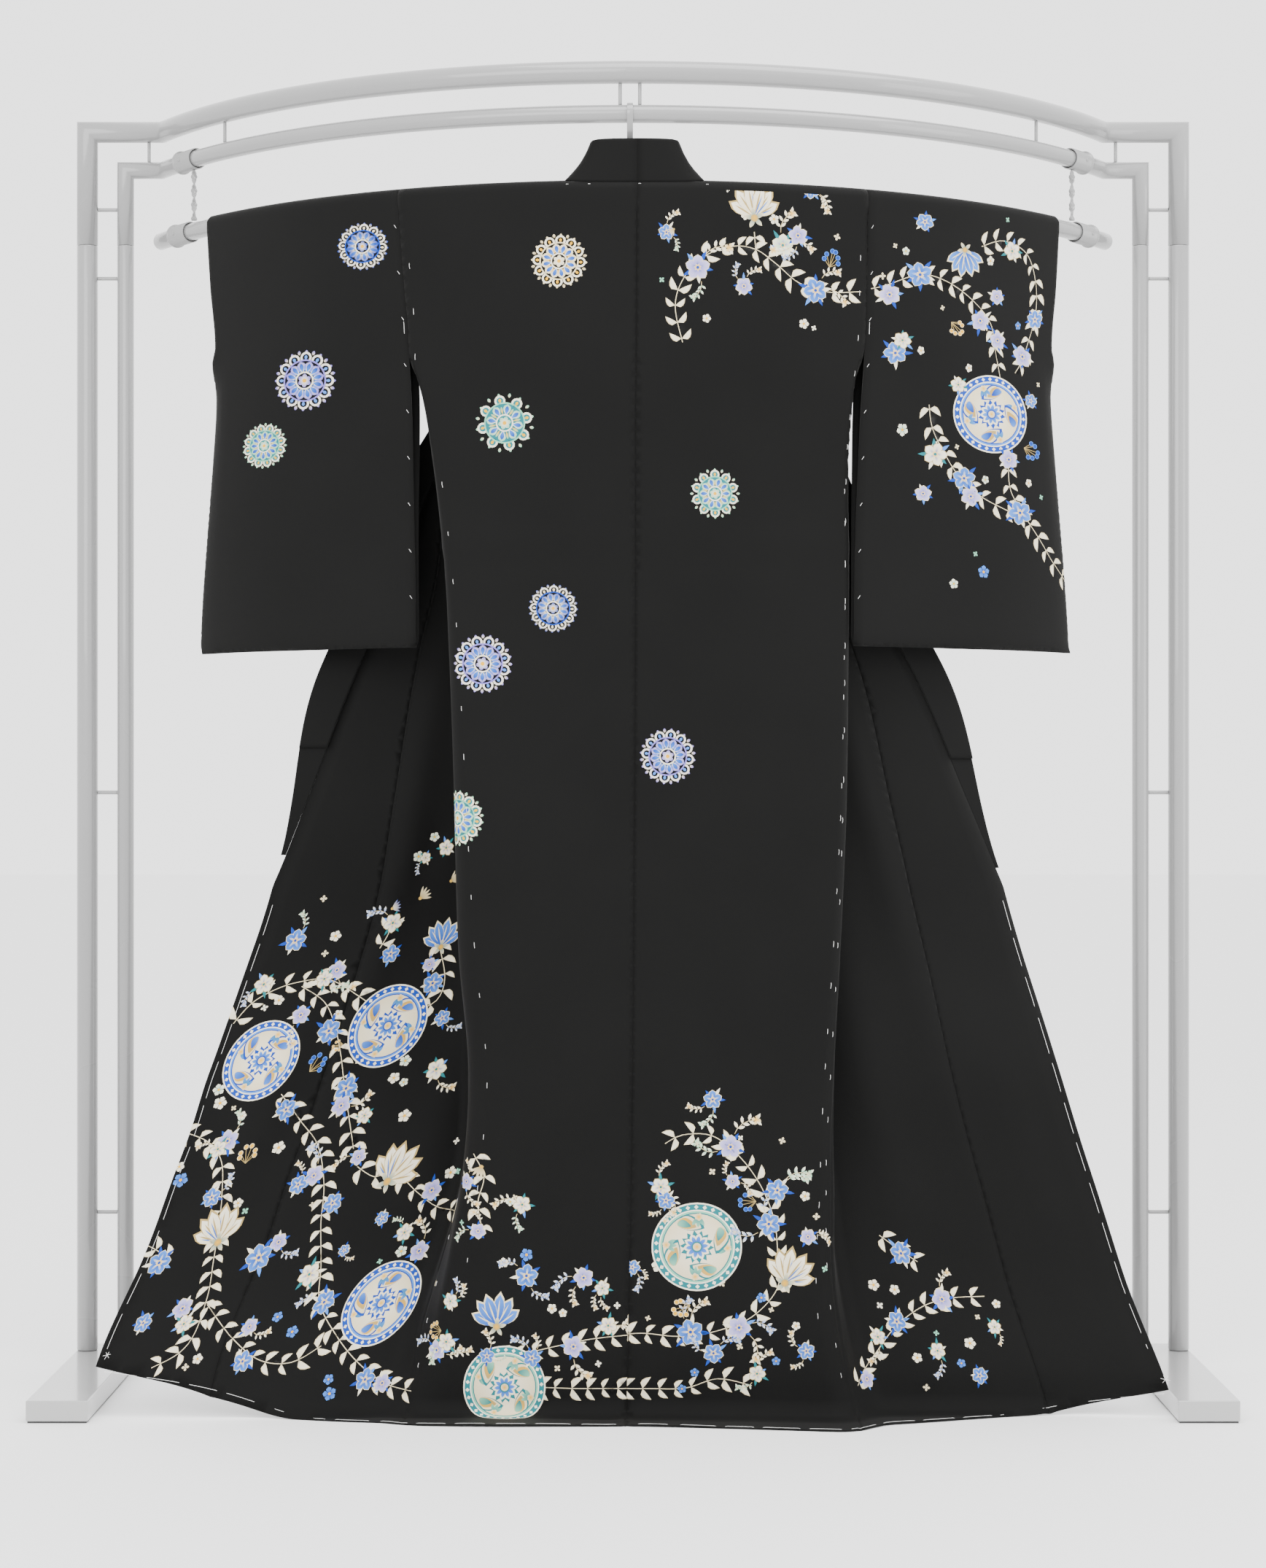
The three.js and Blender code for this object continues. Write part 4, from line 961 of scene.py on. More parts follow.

# %% [markdown]
# Formal dress carries its pattern at the hem, on one shoulder and on the sleeves, and this one is placed
# in the same zones: medallions, the vines that tie them, and small scattered flowers. Each entry
# is a kind with its place on the cloth and its size, all in mm.

# %% Composition
BLOSSOMS = {
    "LB": (
        ("lace_cream", 98, 94, 36), ("lace_mint", 169, 306, 39), ("lace_blue", 106, 552, 32),
        ("lace_lilac", 199, 625, 39), ("lace_mint", 235, 830, 37), ("round_mint", 170, 1588, 56),
        ("tulip_blue", 182, 1494, 32), ("bloom_lilac", 263, 1540, 15), ("bloom_cream", 249, 1528, 14),
        ("bloom_cream", 244, 1474, 13), ("bloom_blue", 141, 1439, 18), ("bloom_lilac", 76, 1534, 17),
        ("bloom_cream", 28, 1506, 14), ("bloom_lilac", 63, 1442, 16), ("bloom_cream", 37, 1456, 12),
        ("bloom_blue", 133, 1549, 14), ("bloom_lilac", 222, 1314, 13), ("bloom_lilac", 206, 1379, 12),
        ("bloom_cream", 147, 1344, 14), ("bloom_blue", 194, 1546, 12), ("berries_gold", 257, 1514, 17),
        ("tuft_cream", 201, 1293, 16),
    ),
    "RB": (
        ("lace_mint", 106, 400, 33), ("lace_lilac", 44, 748, 37), ("round_mint", 87, 1400, 59),
        ("tulip_cream", 158, 22, 34), ("tulip_cream", 208, 1436, 34), ("bloom_lilac", 82, 103, 19),
        ("bloom_mint", 197, 70, 17), ("bloom_lilac", 218, 56, 15), ("bloom_blue", 242, 128, 19),
        ("bloom_lilac", 144, 126, 13), ("bloom_blue", 40, 57, 12), ("bloom_blue", 236, -5, 13),
        ("bloom_blue", 106, 1204, 14), ("bloom_lilac", 130, 1267, 18), ("bloom_cream", 39, 1321, 15),
        ("bloom_blue", 46, 1339, 13), ("bloom_blue", 181, 1370, 18), ("bloom_lilac", 133, 1313, 11),
        ("bloom_blue", 192, 1325, 17), ("bloom_blue", 80, 1514, 20), ("bloom_lilac", 143, 1508, 18),
        ("bloom_blue", 110, 1542, 15), ("bloom_cream", 167, 1569, 13), ("bloom_blue", 4, 1428, 11),
        ("bloom_lilac", 233, 1387, 12), ("bloom_blue", 232, 1538, 13), ("berries_gold", 79, 1478, 18),
        ("berries_blue", 164, 1340, 17), ("berries_blue", 262, 96, 18), ("tuft_cream", 50, 53, 9),
    ),
    "LS": (
        ("lace_blue", 58, -83, 32), ("lace_lilac", 164, -257, 41), ("lace_mint", 234, -341, 31),
    ),
    "RS": (
        ("round_cream", 211, -299, 53), ("tulip_blue", 158, -89, 26), ("bloom_lilac", 35, -149, 16),
        ("bloom_blue", 82, -119, 19), ("bloom_blue", 88, -47, 13), ("bloom_cream", 246, -71, 15),
        ("bloom_lilac", 193, -173, 16), ("bloom_lilac", 228, -197, 14), ("bloom_blue", 304, -161, 15),
        ("bloom_lilac", 275, -215, 17), ("bloom_lilac", 222, -137, 12), ("bloom_blue", 47, -227, 17),
        ("bloom_cream", 58, -209, 13), ("bloom_cream", 152, -263, 12), ("bloom_cream", 117, -359, 18),
        ("bloom_blue", 164, -389, 17), ("bloom_lilac", 175, -413, 15), ("bloom_blue", 257, -431, 19),
        ("bloom_lilac", 240, -359, 15), ("bloom_lilac", 99, -413, 12), ("bloom_blue", 287, -275, 11),
        ("berries_gold", 140, -179, 16), ("berries_blue", 269, -341, 18),
    ),
    "LF": (
        ("round_blue", 660, 1163, 54), ("round_cream", 508, 1118, 57), ("round_gold", 379, 1487, 55),
        ("tulip_cream", 429, 1313, 38), ("tulip_cream", 639, 1391, 36), ("tulip_blue", 471, 999, 28),
        ("bloom_blue", 667, 1000, 18), ("bloom_lilac", 628, 1102, 15), ("bloom_lilac", 599, 1041, 15),
        ("bloom_cream", 612, 1053, 14), ("bloom_cream", 690, 1060, 16), ("bloom_blue", 584, 1124, 19),
        ("bloom_blue", 534, 1019, 15), ("bloom_cream", 543, 976, 16), ("bloom_blue", 466, 1060, 17),
        ("bloom_cream", 491, 872, 13), ("bloom_cream", 517, 886, 9), ("bloom_lilac", 478, 1034, 11),
        ("bloom_blue", 439, 1108, 13), ("bloom_cream", 424, 1178, 17), ("bloom_blue", 535, 1202, 19),
        ("bloom_lilac", 534, 1225, 16), ("bloom_cream", 498, 1239, 13), ("bloom_blue", 606, 1229, 17),
        ("bloom_lilac", 670, 1270, 18), ("bloom_cream", 679, 1281, 14), ("bloom_lilac", 536, 1318, 16),
        ("bloom_blue", 553, 1330, 15), ("bloom_lilac", 485, 1294, 13), ("bloom_blue", 664, 1345, 15),
        ("bloom_blue", 498, 1355, 16), ("bloom_cream", 494, 1449, 18), ("bloom_blue", 457, 1485, 18),
        ("bloom_blue", 572, 1426, 22), ("bloom_lilac", 553, 1406, 14), ("bloom_blue", 703, 1431, 19),
        ("bloom_lilac", 644, 1490, 16), ("bloom_cream", 633, 1510, 14), ("bloom_lilac", 543, 1515, 13),
        ("bloom_blue", 536, 1558, 16), ("bloom_blue", 688, 1508, 14), ("bloom_lilac", 369, 1339, 17),
        ("bloom_cream", 387, 1395, 14), ("bloom_blue", 424, 1376, 11), ("bloom_lilac", 358, 1420, 16),
        ("bloom_blue", 366, 1583, 17), ("bloom_lilac", 342, 1588, 14), ("bloom_blue", 460, 1418, 9),
        ("berries_gold", 635, 1300, 19), ("berries_blue", 591, 1179, 19),
        ("berries_gold", 560, 1142, 11), ("tuft_cream", 514, 942, 17), ("tuft_blue", 549, 956, 14),
        ("tuft_cream", 477, 918, 15),
    ),
    "RF": (
        ("bloom_blue", 403, 1418, 18), ("bloom_lilac", 447, 1479, 17), ("bloom_blue", 382, 1508, 16),
        ("bloom_cream", 354, 1528, 13), ("bloom_cream", 430, 1546, 13), ("bloom_blue", 481, 1578, 13),
        ("bloom_lilac", 331, 1582, 14), ("bloom_cream", 510, 1515, 11),
    ),
}
DOTS = {
    "LB": (
        (163, 1340, 6), (157, 1334, 4), (141, 1411, 9), (172, 1421, 7), (106, 1483, 7), (91, 1489, 6),
        (139, 1450, 4), (213, 1354, 5), (229, 1369, 4), (41, 1557, 5), (16, 1479, 5), (98, 1563, 5),
    ),
    "RB": (
        (94, 170, 6), (146, 33, 6), (185, 36, 7), (226, 173, 7), (240, 178, 4), (273, 55, 5),
        (122, -1, 4), (34, 120, 4), (143, 1255, 4), (198, 1259, 5), (106, 1300, 5), (42, 1412, 7),
        (37, 1426, 9), (172, 1468, 7), (185, 1484, 4), (229, 1333, 7), (244, 1360, 5), (86, 1568, 6),
        (70, 1590, 6), (192, 1552, 6), (218, 1505, 6), (144, 1533, 5), (25, 1496, 4), (256, 1430, 5),
        (120, 1449, 5),
    ),
    "RS": (
        (41, -83, 4), (58, -89, 6), (23, -125, 5), (205, -89, 7), (234, -29, 4), (123, -161, 4),
        (88, -221, 6), (170, -239, 6), (64, -329, 9), (152, -347, 4), (269, -173, 6), (199, -389, 6),
        (275, -389, 6), (298, -407, 4), (181, -491, 4), (193, -515, 9), (146, -533, 7), (304, -251, 4),
    ),
    "LF": (
        (645, 942, 5), (615, 994, 8), (622, 1018, 5), (527, 884, 8), (509, 857, 7), (663, 1082, 7),
        (579, 1101, 6), (679, 1092, 5), (476, 1189, 8), (461, 1195, 6), (703, 1201, 8), (696, 1219, 9),
        (662, 1236, 6), (676, 1226, 4), (444, 1240, 9), (531, 1165, 5), (598, 1280, 9), (722, 1304, 7),
        (714, 1322, 10), (626, 1353, 7), (613, 1364, 5), (351, 1316, 9), (340, 1314, 5), (382, 1420, 8),
        (406, 1433, 4), (525, 1357, 4), (511, 1503, 7), (483, 1522, 8), (597, 1554, 7), (610, 1564, 5),
        (415, 1582, 7), (410, 1600, 9), (360, 1274, 5), (300, 1457, 5), (469, 1166, 8),
    ),
    "RF": (
        (359, 1460, 8), (386, 1466, 7), (363, 1487, 5), (518, 1485, 6), (474, 1536, 8), (459, 1562, 6),
        (402, 1555, 7), (410, 1594, 5), (490, 1502, 4), (432, 1523, 4),
    ),
}
VINES = {
    "RB": (
        (
            (62, 202), (52, 154), (64, 116), (93, 87), (128, 74), (160, 77), (188, 95), (220, 119),
            (260, 129), (307, 126),
        ),
        ((158, 54), (160, 77)),
        (
            (-23, 1520), (17, 1516), (64, 1520), (111, 1513), (159, 1494), (193, 1455), (193, 1411),
            (188, 1364), (169, 1317), (140, 1278), (105, 1252), (67, 1251), (44, 1263),
        ),
        ((-9, 1590), (28, 1590), (74, 1589), (116, 1576), (160, 1585)),
    ),
    "RS": (
        (
            (6, -143), (29, -137), (82, -119), (129, -125), (181, -149), (216, -179), (222, -221),
            (228, -251),
        ),
        ((187, -71), (228, -59), (275, -71), (298, -107), (304, -155), (287, -203), (257, -239)),
        ((240, -347), (240, -395), (257, -425), (292, -467), (316, -497), (345, -521)),
        ((105, -293), (111, -323), (129, -353), (158, -389), (193, -413), (240, -431)),
    ),
    "LF": (
        ((713, 1113), (698, 1086), (674, 1068), (644, 1057), (605, 1054), (559, 1077), (537, 1091)),
        ((551, 1011), (545, 991), (545, 972)),
        ((639, 1063), (603, 1084), (580, 1114), (560, 1152), (544, 1186), (519, 1239), (496, 1283)),
        ((481, 1307), (452, 1321), (429, 1313), (387, 1342), (349, 1363), (304, 1364)),
        (
            (733, 1257), (696, 1271), (667, 1299), (651, 1343), (642, 1382), (631, 1430), (618, 1475),
            (613, 1520), (624, 1546), (655, 1564),
        ),
        ((613, 1486), (560, 1529), (513, 1557), (470, 1560), (437, 1540)),
        (
            (619, 1208), (582, 1244), (545, 1279), (518, 1330), (504, 1384), (483, 1438), (463, 1485),
            (421, 1528), (379, 1563), (337, 1589), (298, 1596),
        ),
        ((474, 1004), (452, 1052), (454, 1084), (481, 1100)),
        ((691, 1427), (714, 1414), (734, 1406)),
    ),
    "LB": (
        ((210, 1276), (198, 1306), (206, 1342), (200, 1378)),
        ((198, 1549), (146, 1543), (103, 1534), (52, 1524), (-5, 1518), (-40, 1514)),
        ((126, 1588), (71, 1590), (20, 1590), (-32, 1590)),
    ),
    "RF": (
        ((311, 1588), (342, 1556), (377, 1517), (416, 1490), (455, 1478), (504, 1475)),
        ((379, 1394), (404, 1415), (423, 1429)),
    ),
}
STRETCH = {"S": 1.25, "F": 0.88, "B": 1.0}
SEEDS = {"S": 37, "F": 23, "B": 11}


def draw(zone):
    """Everything in a zone: L or R, then B for back, F for front or S for sleeve.

    Motifs are drawn wider on the sleeves and narrower on the fronts, so that they look right there.
    """
    d = Drawing(SEEDS[zone[1]])
    stretch = STRETCH[zone[1]]
    for line in VINES.get(zone, ()):
        vine(d, line)
    for u, v, size in DOTS.get(zone, ()):
        dot(d, (u, v), size)
    for kind, u, v, size in sorted(BLOSSOMS[zone], key=lambda row: -row[3]):
        maker, dye = kind.split("_")
        first = len(d.shapes)
        if maker == "bloom" and zone[1] in "BF":
            for _ in range(2 if zone[1] == "B" else d.dice.choice((0, 1))):
                angle = d.dice.uniform(0, math.tau)
                sprig(d, beside((u, v), size, angle), angle, size * d.dice.uniform(1.1, 1.9))
        MAKERS[maker](d, (u, v), size, dye)
        for number in range(first, len(d.shapes)):
            points, middle, *rest = d.shapes[number]
            wide = [(u + (x - u) * stretch, y) for x, y in points]
            d.shapes[number] = (wide, (u + (middle[0] - u) * stretch, middle[1]), *rest)
    return d.shapes


print("motifs:", {zone: len(rows) for zone, rows in BLOSSOMS.items()})

# %% [markdown]
# A panel becomes a mesh in one step: its outline, its grid of fold points and every motif's edge go into
# one Delaunay triangulation, so each painted edge is a real mesh edge and stays sharp however the cloth
# hangs. Each triangle inside the outline then takes the topmost motif that covers its middle.

# %% Panels from charts
def covered(spots, polygon):
    """Which spots lie inside a polygon, by counting the edges that cross a line to the right of each."""
    inside = np.zeros(len(spots), bool)
    for (ax, ay), (bx, by) in zip(polygon, polygon[1:] + polygon[:1]):
        if ay != by:
            crosses = (spots[:, 1] < ay) != (spots[:, 1] < by)
            inside ^= crosses & (spots[:, 0] < (bx - ax) * (spots[:, 1] - ay) / (by - ay) + ax)
    return inside


def flat_mesh(outline, points, shapes):
    spots = list(outline)
    edges = [(i - 1 if i else len(outline) - 1, i) for i in range(len(outline))]
    for polygon, *_ in shapes:
        first, count = len(spots), len(polygon)
        spots += polygon
        edges += [(first + i, first + (i + 1) % count) for i in range(count)]
    spots = [Vector(p) for p in spots + points]
    verts, _, tris, *_ = delaunay_2d_cdt(spots, edges, [], 0, 1e-4, False)
    places, corners = np.array([tuple(v) for v in verts]), np.array(tris)
    middles = places[corners].mean(axis=1)
    keep_these = covered(middles, outline)
    corners, middles = corners[keep_these], middles[keep_these]
    order = np.argsort(middles[:, 0])
    across = middles[order, 0]
    owners = np.zeros(len(corners), int)
    for number, (polygon, *_) in enumerate(shapes, 1):
        low, high = min(p[0] for p in polygon), max(p[0] for p in polygon)
        near = order[np.searchsorted(across, low):np.searchsorted(across, high)]
        owners[near[covered(middles[near], polygon)]] = number
    return places, corners, owners


def shapes_on(outline, shapes):
    """The shapes that touch an outline, with their order kept."""
    if not shapes:
        return []
    inside = covered(np.array([p for s in shapes for p in s[0]]), outline)
    starts = np.cumsum([0] + [len(s[0]) for s in shapes[:-1]])
    return [s for s, touches in zip(shapes, np.logical_or.reduceat(inside, starts)) if touches]


def cloth_mesh(name, flat, hang, shapes, flip):
    places, corners, owners = flat
    corners = corners[:, ::-1] if flip else corners
    mesh = bpy.data.meshes.new(name)
    mesh.from_pydata(hang(places[:, 0], places[:, 1]), [], corners)
    mesh.uv_layers.new(name="chart")
    mesh.color_attributes.new("dye", "FLOAT_COLOR", "CORNER")
    mesh.polygons.foreach_set("use_smooth", np.ones(len(corners), bool))
    spots = places[corners.ravel()]
    mesh.uv_layers["chart"].data.foreach_set("uv", (spots * MM).astype(np.float32).ravel())
    owner = np.repeat(owners, 3)
    shapes = [(None, (0, 0), 1, BLACK, BLACK)] + shapes
    middle, reach, near, far = (np.array([s[k] for s in shapes], float)[owner] for k in (1, 2, 3, 4))
    f = np.minimum(1, np.linalg.norm(spots - middle, axis=1) / reach)[:, None]
    colour = np.concatenate([near + (far - near) * f, (owner > 0)[:, None]], axis=1)
    mesh.color_attributes["dye"].data.foreach_set("color", colour.astype(np.float32).ravel())
    return mesh


# %% [markdown]
# Silk crepe is matt black with a soft sheen where light grazes it, and a fine pebble that runs across the
# weave. The dye is laid over it by the colour attribute; its fourth value says where there is any. The
# inside is plain.

# %% Crepe
def crepe(name, dyed):
    material, tree, shader, fine = finish_with_grain(
        name, {"Sheen Weight": 0.035, "Sheen Roughness": 0.4, "Sheen Tint": (1, 0.99, 0.97, 1),
               "Specular IOR Level": 0.08, "Base Color": (*BLACK, 1)},
        "UV", 950, 2.2, 7, (0.5, 0.0004), (0.62, 0.74),
    )
    shade = tree.nodes.new("ShaderNodeMix")
    shade.data_type = "RGBA"
    shade.inputs["A"].default_value = (0.0026, 0.0026, 0.0025, 1)
    shade.inputs["B"].default_value = (0.005, 0.005, 0.0048, 1)
    wire(tree, (fine.outputs["Patches"], shade.inputs["Factor"]))
    colour = shade.outputs["Result"]
    if dyed:
        dye = tree.nodes.new("ShaderNodeAttribute")
        dye.attribute_name = "dye"
        over = tree.nodes.new("ShaderNodeMix")
        over.data_type = "RGBA"
        wire(tree, (dye.outputs["Alpha"], over.inputs["Factor"]), (colour, over.inputs["A"]),
             (dye.outputs["Color"], over.inputs["B"]))
        colour = over.outputs["Result"]
    wire(tree, (colour, shader.inputs["Base Color"]))
    return material


crepe_face = crepe("crepe_face", True)
crepe_back = crepe("crepe_back", False)
print("cloth finishes:", crepe_face.name, crepe_back.name)


def cloth_piece(name, mesh, node, wall=WALL):
    piece = bpy.data.objects.new(name, mesh)
    bpy.context.scene.collection.objects.link(piece)
    mesh.materials.append(crepe_face)
    mesh.materials.append(crepe_back)
    thick = piece.modifiers.new("wall", "SOLIDIFY")
    thick.thickness, thick.offset = wall * MM, 0
    thick.material_offset = thick.material_offset_rim = 1
    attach(piece, "root")
    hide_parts(node)
    return piece


# %% [markdown]
# Columns of a row crowd together where the cloth turns, so that a fold is round and flat runs stay light.
# Rows are a thumb's width apart and close up where the hem bends onto the floor. Helpers then walk along
# a panel's edges, give the round of the cloth over the pole, and turn a grid of points into faces.

# %% Rows and columns
COLUMN_COUNTS = (22, 16, 12, 9, 11)  # flat back, side fold, front's back, crease, front
SEAM_COLUMNS = (1.6, 3.5, 6)
ROW_STEP, FINE_ROW_STEP, FINE_ZONE = 18, 4, 90
EDGE_CLEAR, HEM_CLEAR, LEAST_SPACE = 1.2, 2.5, 0.9


def columns(half, hung, start, end):
    height = max(POLE_HEIGHT - hung, 0)
    runs = half.pieces(height)
    marks = [0]
    for length, _ in runs[:4]:
        marks.append(marks[-1] + length)
    marks.append(max(end, marks[-1] + 10))
    spots = []
    for (a, b), count in zip(zip(marks, marks[1:]), COLUMN_COUNTS):
        spots += [a + (b - a) * i / count for i in range(count)]
    for seam in (half.seam(height), half.front_end(height)):
        spots += [seam] + [seam + s for s in SEAM_COLUMNS] + [seam - s for s in SEAM_COLUMNS]
    spots = sorted(s for s in (*spots, *SEAM_COLUMNS) if start + EDGE_CLEAR < s < end - EDGE_CLEAR)
    return [s for i, s in enumerate(spots) if i == 0 or s - spots[i - 1] > LEAST_SPACE]


def levels(last):
    rows = [ROW_STEP * i for i in range(1, int((last - FINE_ZONE) / ROW_STEP))]
    count = int((last - rows[-1]) / FINE_ROW_STEP)
    return rows + [rows[-1] + FINE_ROW_STEP * i for i in range(1, count + 1)]


def height_of(v):
    return max(POLE_HEIGHT - v, 0)


def edge(where, start, end, step=9):
    count = max(1, int(abs(end - start) / step))
    downs = [start + (end - start) * i / count for i in range(count + 1)]
    return [(where(v), v) for v in downs]


def hem(half, u0, u1, mark0, mark1, step=8):
    count = max(2, int((u1 - u0) / step))
    return [
        (u0 + (u1 - u0) * i / count, half.hung_at(0, mark0 + (mark1 - mark0) * i / count))
        for i in range(count + 1)
    ]


def round_pole(half, along, degrees, radius=CLOTH_RADIUS):
    """A point of the cloth where it turns over the pole, in mm."""
    angle = math.radians(degrees)
    x, y, z = on_bow(along, -radius * math.cos(angle), POLE_HEIGHT + radius * math.sin(angle))
    lean = CENTRE_LINE[0][2] * max(0, 1 - along / LEAN_REACH) ** 2
    return half.sign * x + lean, y, z


def add_quads(bm, rows, flip):
    """Undyed faces between the rows of a grid of points with their chart places; None leaves a hole."""
    chart, dye = bm.loops.layers.uv["chart"], bm.loops.layers.float_color["dye"]
    for upper, lower in zip(rows, rows[1:]):
        for j in range(len(upper) - 1):
            quad = [upper[j], upper[j + 1], lower[j + 1], lower[j]]
            if None in quad:
                continue
            quad = quad[::-1] if flip else quad
            face = bm.faces.new([vertex for vertex, _ in quad])
            face.smooth = True
            for loop, (_, uv) in zip(face.loops, quad):
                loop[chart].uv = uv
                loop[dye] = (0, 0, 0, 0)


# %% [markdown]
# The body panel's outline runs down the centre seam, along the hem to the front seam and back up. The
# cloth is slit between back and front above the underarm, which leaves a notch up to the shoulder.

# %% Body panels
NECK_COLUMNS, SHOULDER_COLUMNS, POLE_ROWS = 9, 24, 16
HEM_SLACK, MERGE = 70, 0.0001


def body_outline(half):
    slit = POLE_HEIGHT - SLIT_FOOT
    bottom = [half.hung_at(0, mark) for mark in (0, 1, 2)]
    front_u = half.front_start(POLE_HEIGHT)
    path = edge(lambda v: 0, 0, bottom[0])
    path += hem(half, 0, half.seam(0), 0, 1)[1:]
    path += hem(half, half.seam(0), half.front_end(0), 1, 2)[1:]
    path += edge(lambda v: half.front_end(height_of(v)), bottom[2], 0)[1:]
    path += [(front_u + FRONT_TOP * (1 - i / SHOULDER_COLUMNS), 0) for i in range(1, SHOULDER_COLUMNS)]
    path += edge(lambda v: half.front_start(height_of(v)), 0, slit)
    path += edge(lambda v: half.seam(height_of(v)), slit, 0)[1:]
    shoulder = SHOULDER - NECK_HALF
    path += [(SHOULDER - shoulder * i / SHOULDER_COLUMNS, 0) for i in range(1, SHOULDER_COLUMNS)]
    path += [(NECK_HALF * (1 - i / NECK_COLUMNS), 0) for i in range(NECK_COLUMNS)]
    return path


def body_points(half):
    """Fold points of the body chart, clear of the hem and the slit."""
    points = []
    for v in levels(half.hung_at(0, 1) + HEM_SLACK):
        h = height_of(v)
        for u in columns(half, v, 0, half.front_end(h)):
            in_slit = h > SLIT_FOOT and half.seam(h) - EDGE_CLEAR < u < half.front_start(h) + EDGE_CLEAR
            if not in_slit and v < half.hung_at(0, half.mark_at(u, h)) - HEM_CLEAR:
                points.append((u, v))
    return points


for side, half in HALVES.items():
    zone = side[0].upper()
    outline = body_outline(half)
    shapes = shapes_on(outline, draw(zone + "B") + draw(zone + "F"))
    flat = flat_mesh(outline, body_points(half), shapes)
    mesh = cloth_mesh(f"body_{side}", flat, half.skin, shapes, side == "right")
    bm = bmesh.new()
    bm.from_mesh(mesh)
    rows = []
    for k in range(POLE_ROWS + 1):
        degrees = 180 * k / POLE_ROWS
        neck = NECK_HALF + (SHOULDER - NECK_HALF - FRONT_TOP) * smoothstep(degrees, 120, 180)
        spots = [NECK_HALF * i / NECK_COLUMNS for i in range(NECK_COLUMNS)] if degrees <= 60 else []
        spots = [None] * (NECK_COLUMNS - len(spots)) + spots
        spots += [neck + (SHOULDER - neck) * j / SHOULDER_COLUMNS for j in range(SHOULDER_COLUMNS + 1)]
        rows.append([
            None if s is None
            else (bm.verts.new(part(*round_pole(half, s, degrees))), (s * MM, -degrees * MM / 4))
            for s in spots
        ])
    add_quads(bm, rows, side == "left")
    bmesh.ops.remove_doubles(bm, verts=[v for v in bm.verts if v.is_boundary], dist=MERGE)
    bm.to_mesh(mesh)
    bm.free()
    piece = cloth_piece(f"body_{side}_cloth", mesh, f"body_{side}")
    print(piece.name, len(mesh.polygons), "faces")

# %% [markdown]
# The overlap panel is a long wedge: wide at the hem, pointed at the collar. It hangs from the front seam,
# so it uses the same form as the body and only starts a seam's width beyond it.

# %% Overlap panels
TIP_CUT, TIP_CLEAR = 12, 3

for side, half in HALVES.items():
    tip = POLE_HEIGHT - OVERLAP_TIP + TIP_CUT

    def inner(v, half=half):
        return half.front_end(height_of(v))

    def outer(v, half=half):
        return max(half.overlap_end(height_of(v)), inner(v) + 1)

    feet = [half.hung_at(0, 2), half.hung_at(0, 3)]
    path = edge(inner, tip, feet[0])
    path += hem(half, inner(feet[0]), outer(feet[1]), 2, 3)[1:]
    path += edge(outer, feet[1], tip)[1:]
    points = [
        (u, v) for v in levels(max(feet)) for u in columns(half, v, inner(v), outer(v))
        if tip + TIP_CLEAR < v
        and v < feet[0] + (feet[1] - feet[0]) * (u - inner(v)) / max(outer(v) - inner(v), 1) - HEM_CLEAR
    ]
    shapes = shapes_on(path, draw(side[0].upper() + "F"))
    flat = flat_mesh(path, points, shapes)
    mesh = cloth_mesh(f"overlap_{side}", flat, half.skin, shapes, side == "right")
    piece = cloth_piece(f"overlap_{side}_cloth", mesh, f"overlap_{side}")
    print(piece.name, len(mesh.polygons), "faces")

# %% [markdown]
# A sleeve is a flat bag hung over the pole end. Its chart is measured across from the shoulder seam and
# down from the top of the pole, negative on the side that faces the camera, so one strip wraps the pole
# and both faces.

# %% Sleeves
MOUTH_FOOT, MOUTH_EASE, EDGE_SHARPNESS = 1440, 60, 14
FLAT_HALF, BAG_TOP, BAG_FOOT = 4.5, 1080, 14
SLEEVE_WIDTH, SLEEVE_COLUMNS, SLEEVE_ROW_STEP, SLEEVE_EDGE_STEP = 345, 24, 11, 9
SLEEVE_MERGE = 0.00005
ROUND_HALF = math.pi * CLOTH_RADIUS / 2


def sleeve_point(half, across, length, out=0.0):
    across, length = np.asarray(across, float), np.asarray(length, float)
    table = SLEEVES[half.side]
    foot = table[-1][0]
    run = np.abs(length) - ROUND_HALF
    face = np.sign(length)
    f = across / SLEEVE_WIDTH
    angle = math.pi / 2 + length / CLOTH_RADIUS
    height = np.maximum(POLE_HEIGHT - np.maximum(run, 0), foot)
    behind = face * (FLAT_HALF + (CLOTH_RADIUS - FLAT_HALF) * smoothstep(height, BAG_TOP, SLIT_TOP))
    sewn = 1 - smoothstep(height, MOUTH_FOOT - MOUTH_EASE, MOUTH_FOOT)
    behind = behind * (1 - sewn * (1 - np.minimum(1, np.sqrt(np.maximum(0, 1 - f) * EDGE_SHARPNESS))))
    behind = behind * np.sqrt(np.clip((height - foot) / BAG_FOOT, 0, 1))
    round_pole = run < 0
    height = np.where(round_pole, POLE_HEIGHT + CLOTH_RADIUS * np.sin(angle), height)
    behind = np.where(round_pole, -CLOTH_RADIUS * np.cos(angle), behind)
    inner = np.where(height > SLIT_TOP - 10, half.seam(height), half.sleeve_inner(height))
    hang = smoothstep(POLE_HEIGHT - height, 60, 600)
    wave = hang * (5 * np.sin(5.5 * f) - 7 * f * f)
    slow = np.sin(across / 47 + length / 210) * np.sin(length / 95)
    wave = wave + smoothstep(np.abs(length), 30, 120) * 1.1 * slow
    x, y, z = on_bow(inner + (half.sleeve_outer(height) - inner) * f, behind + wave + face * out, height)
    return metres(np.stack((half.sign * x, y, z), axis=-1))


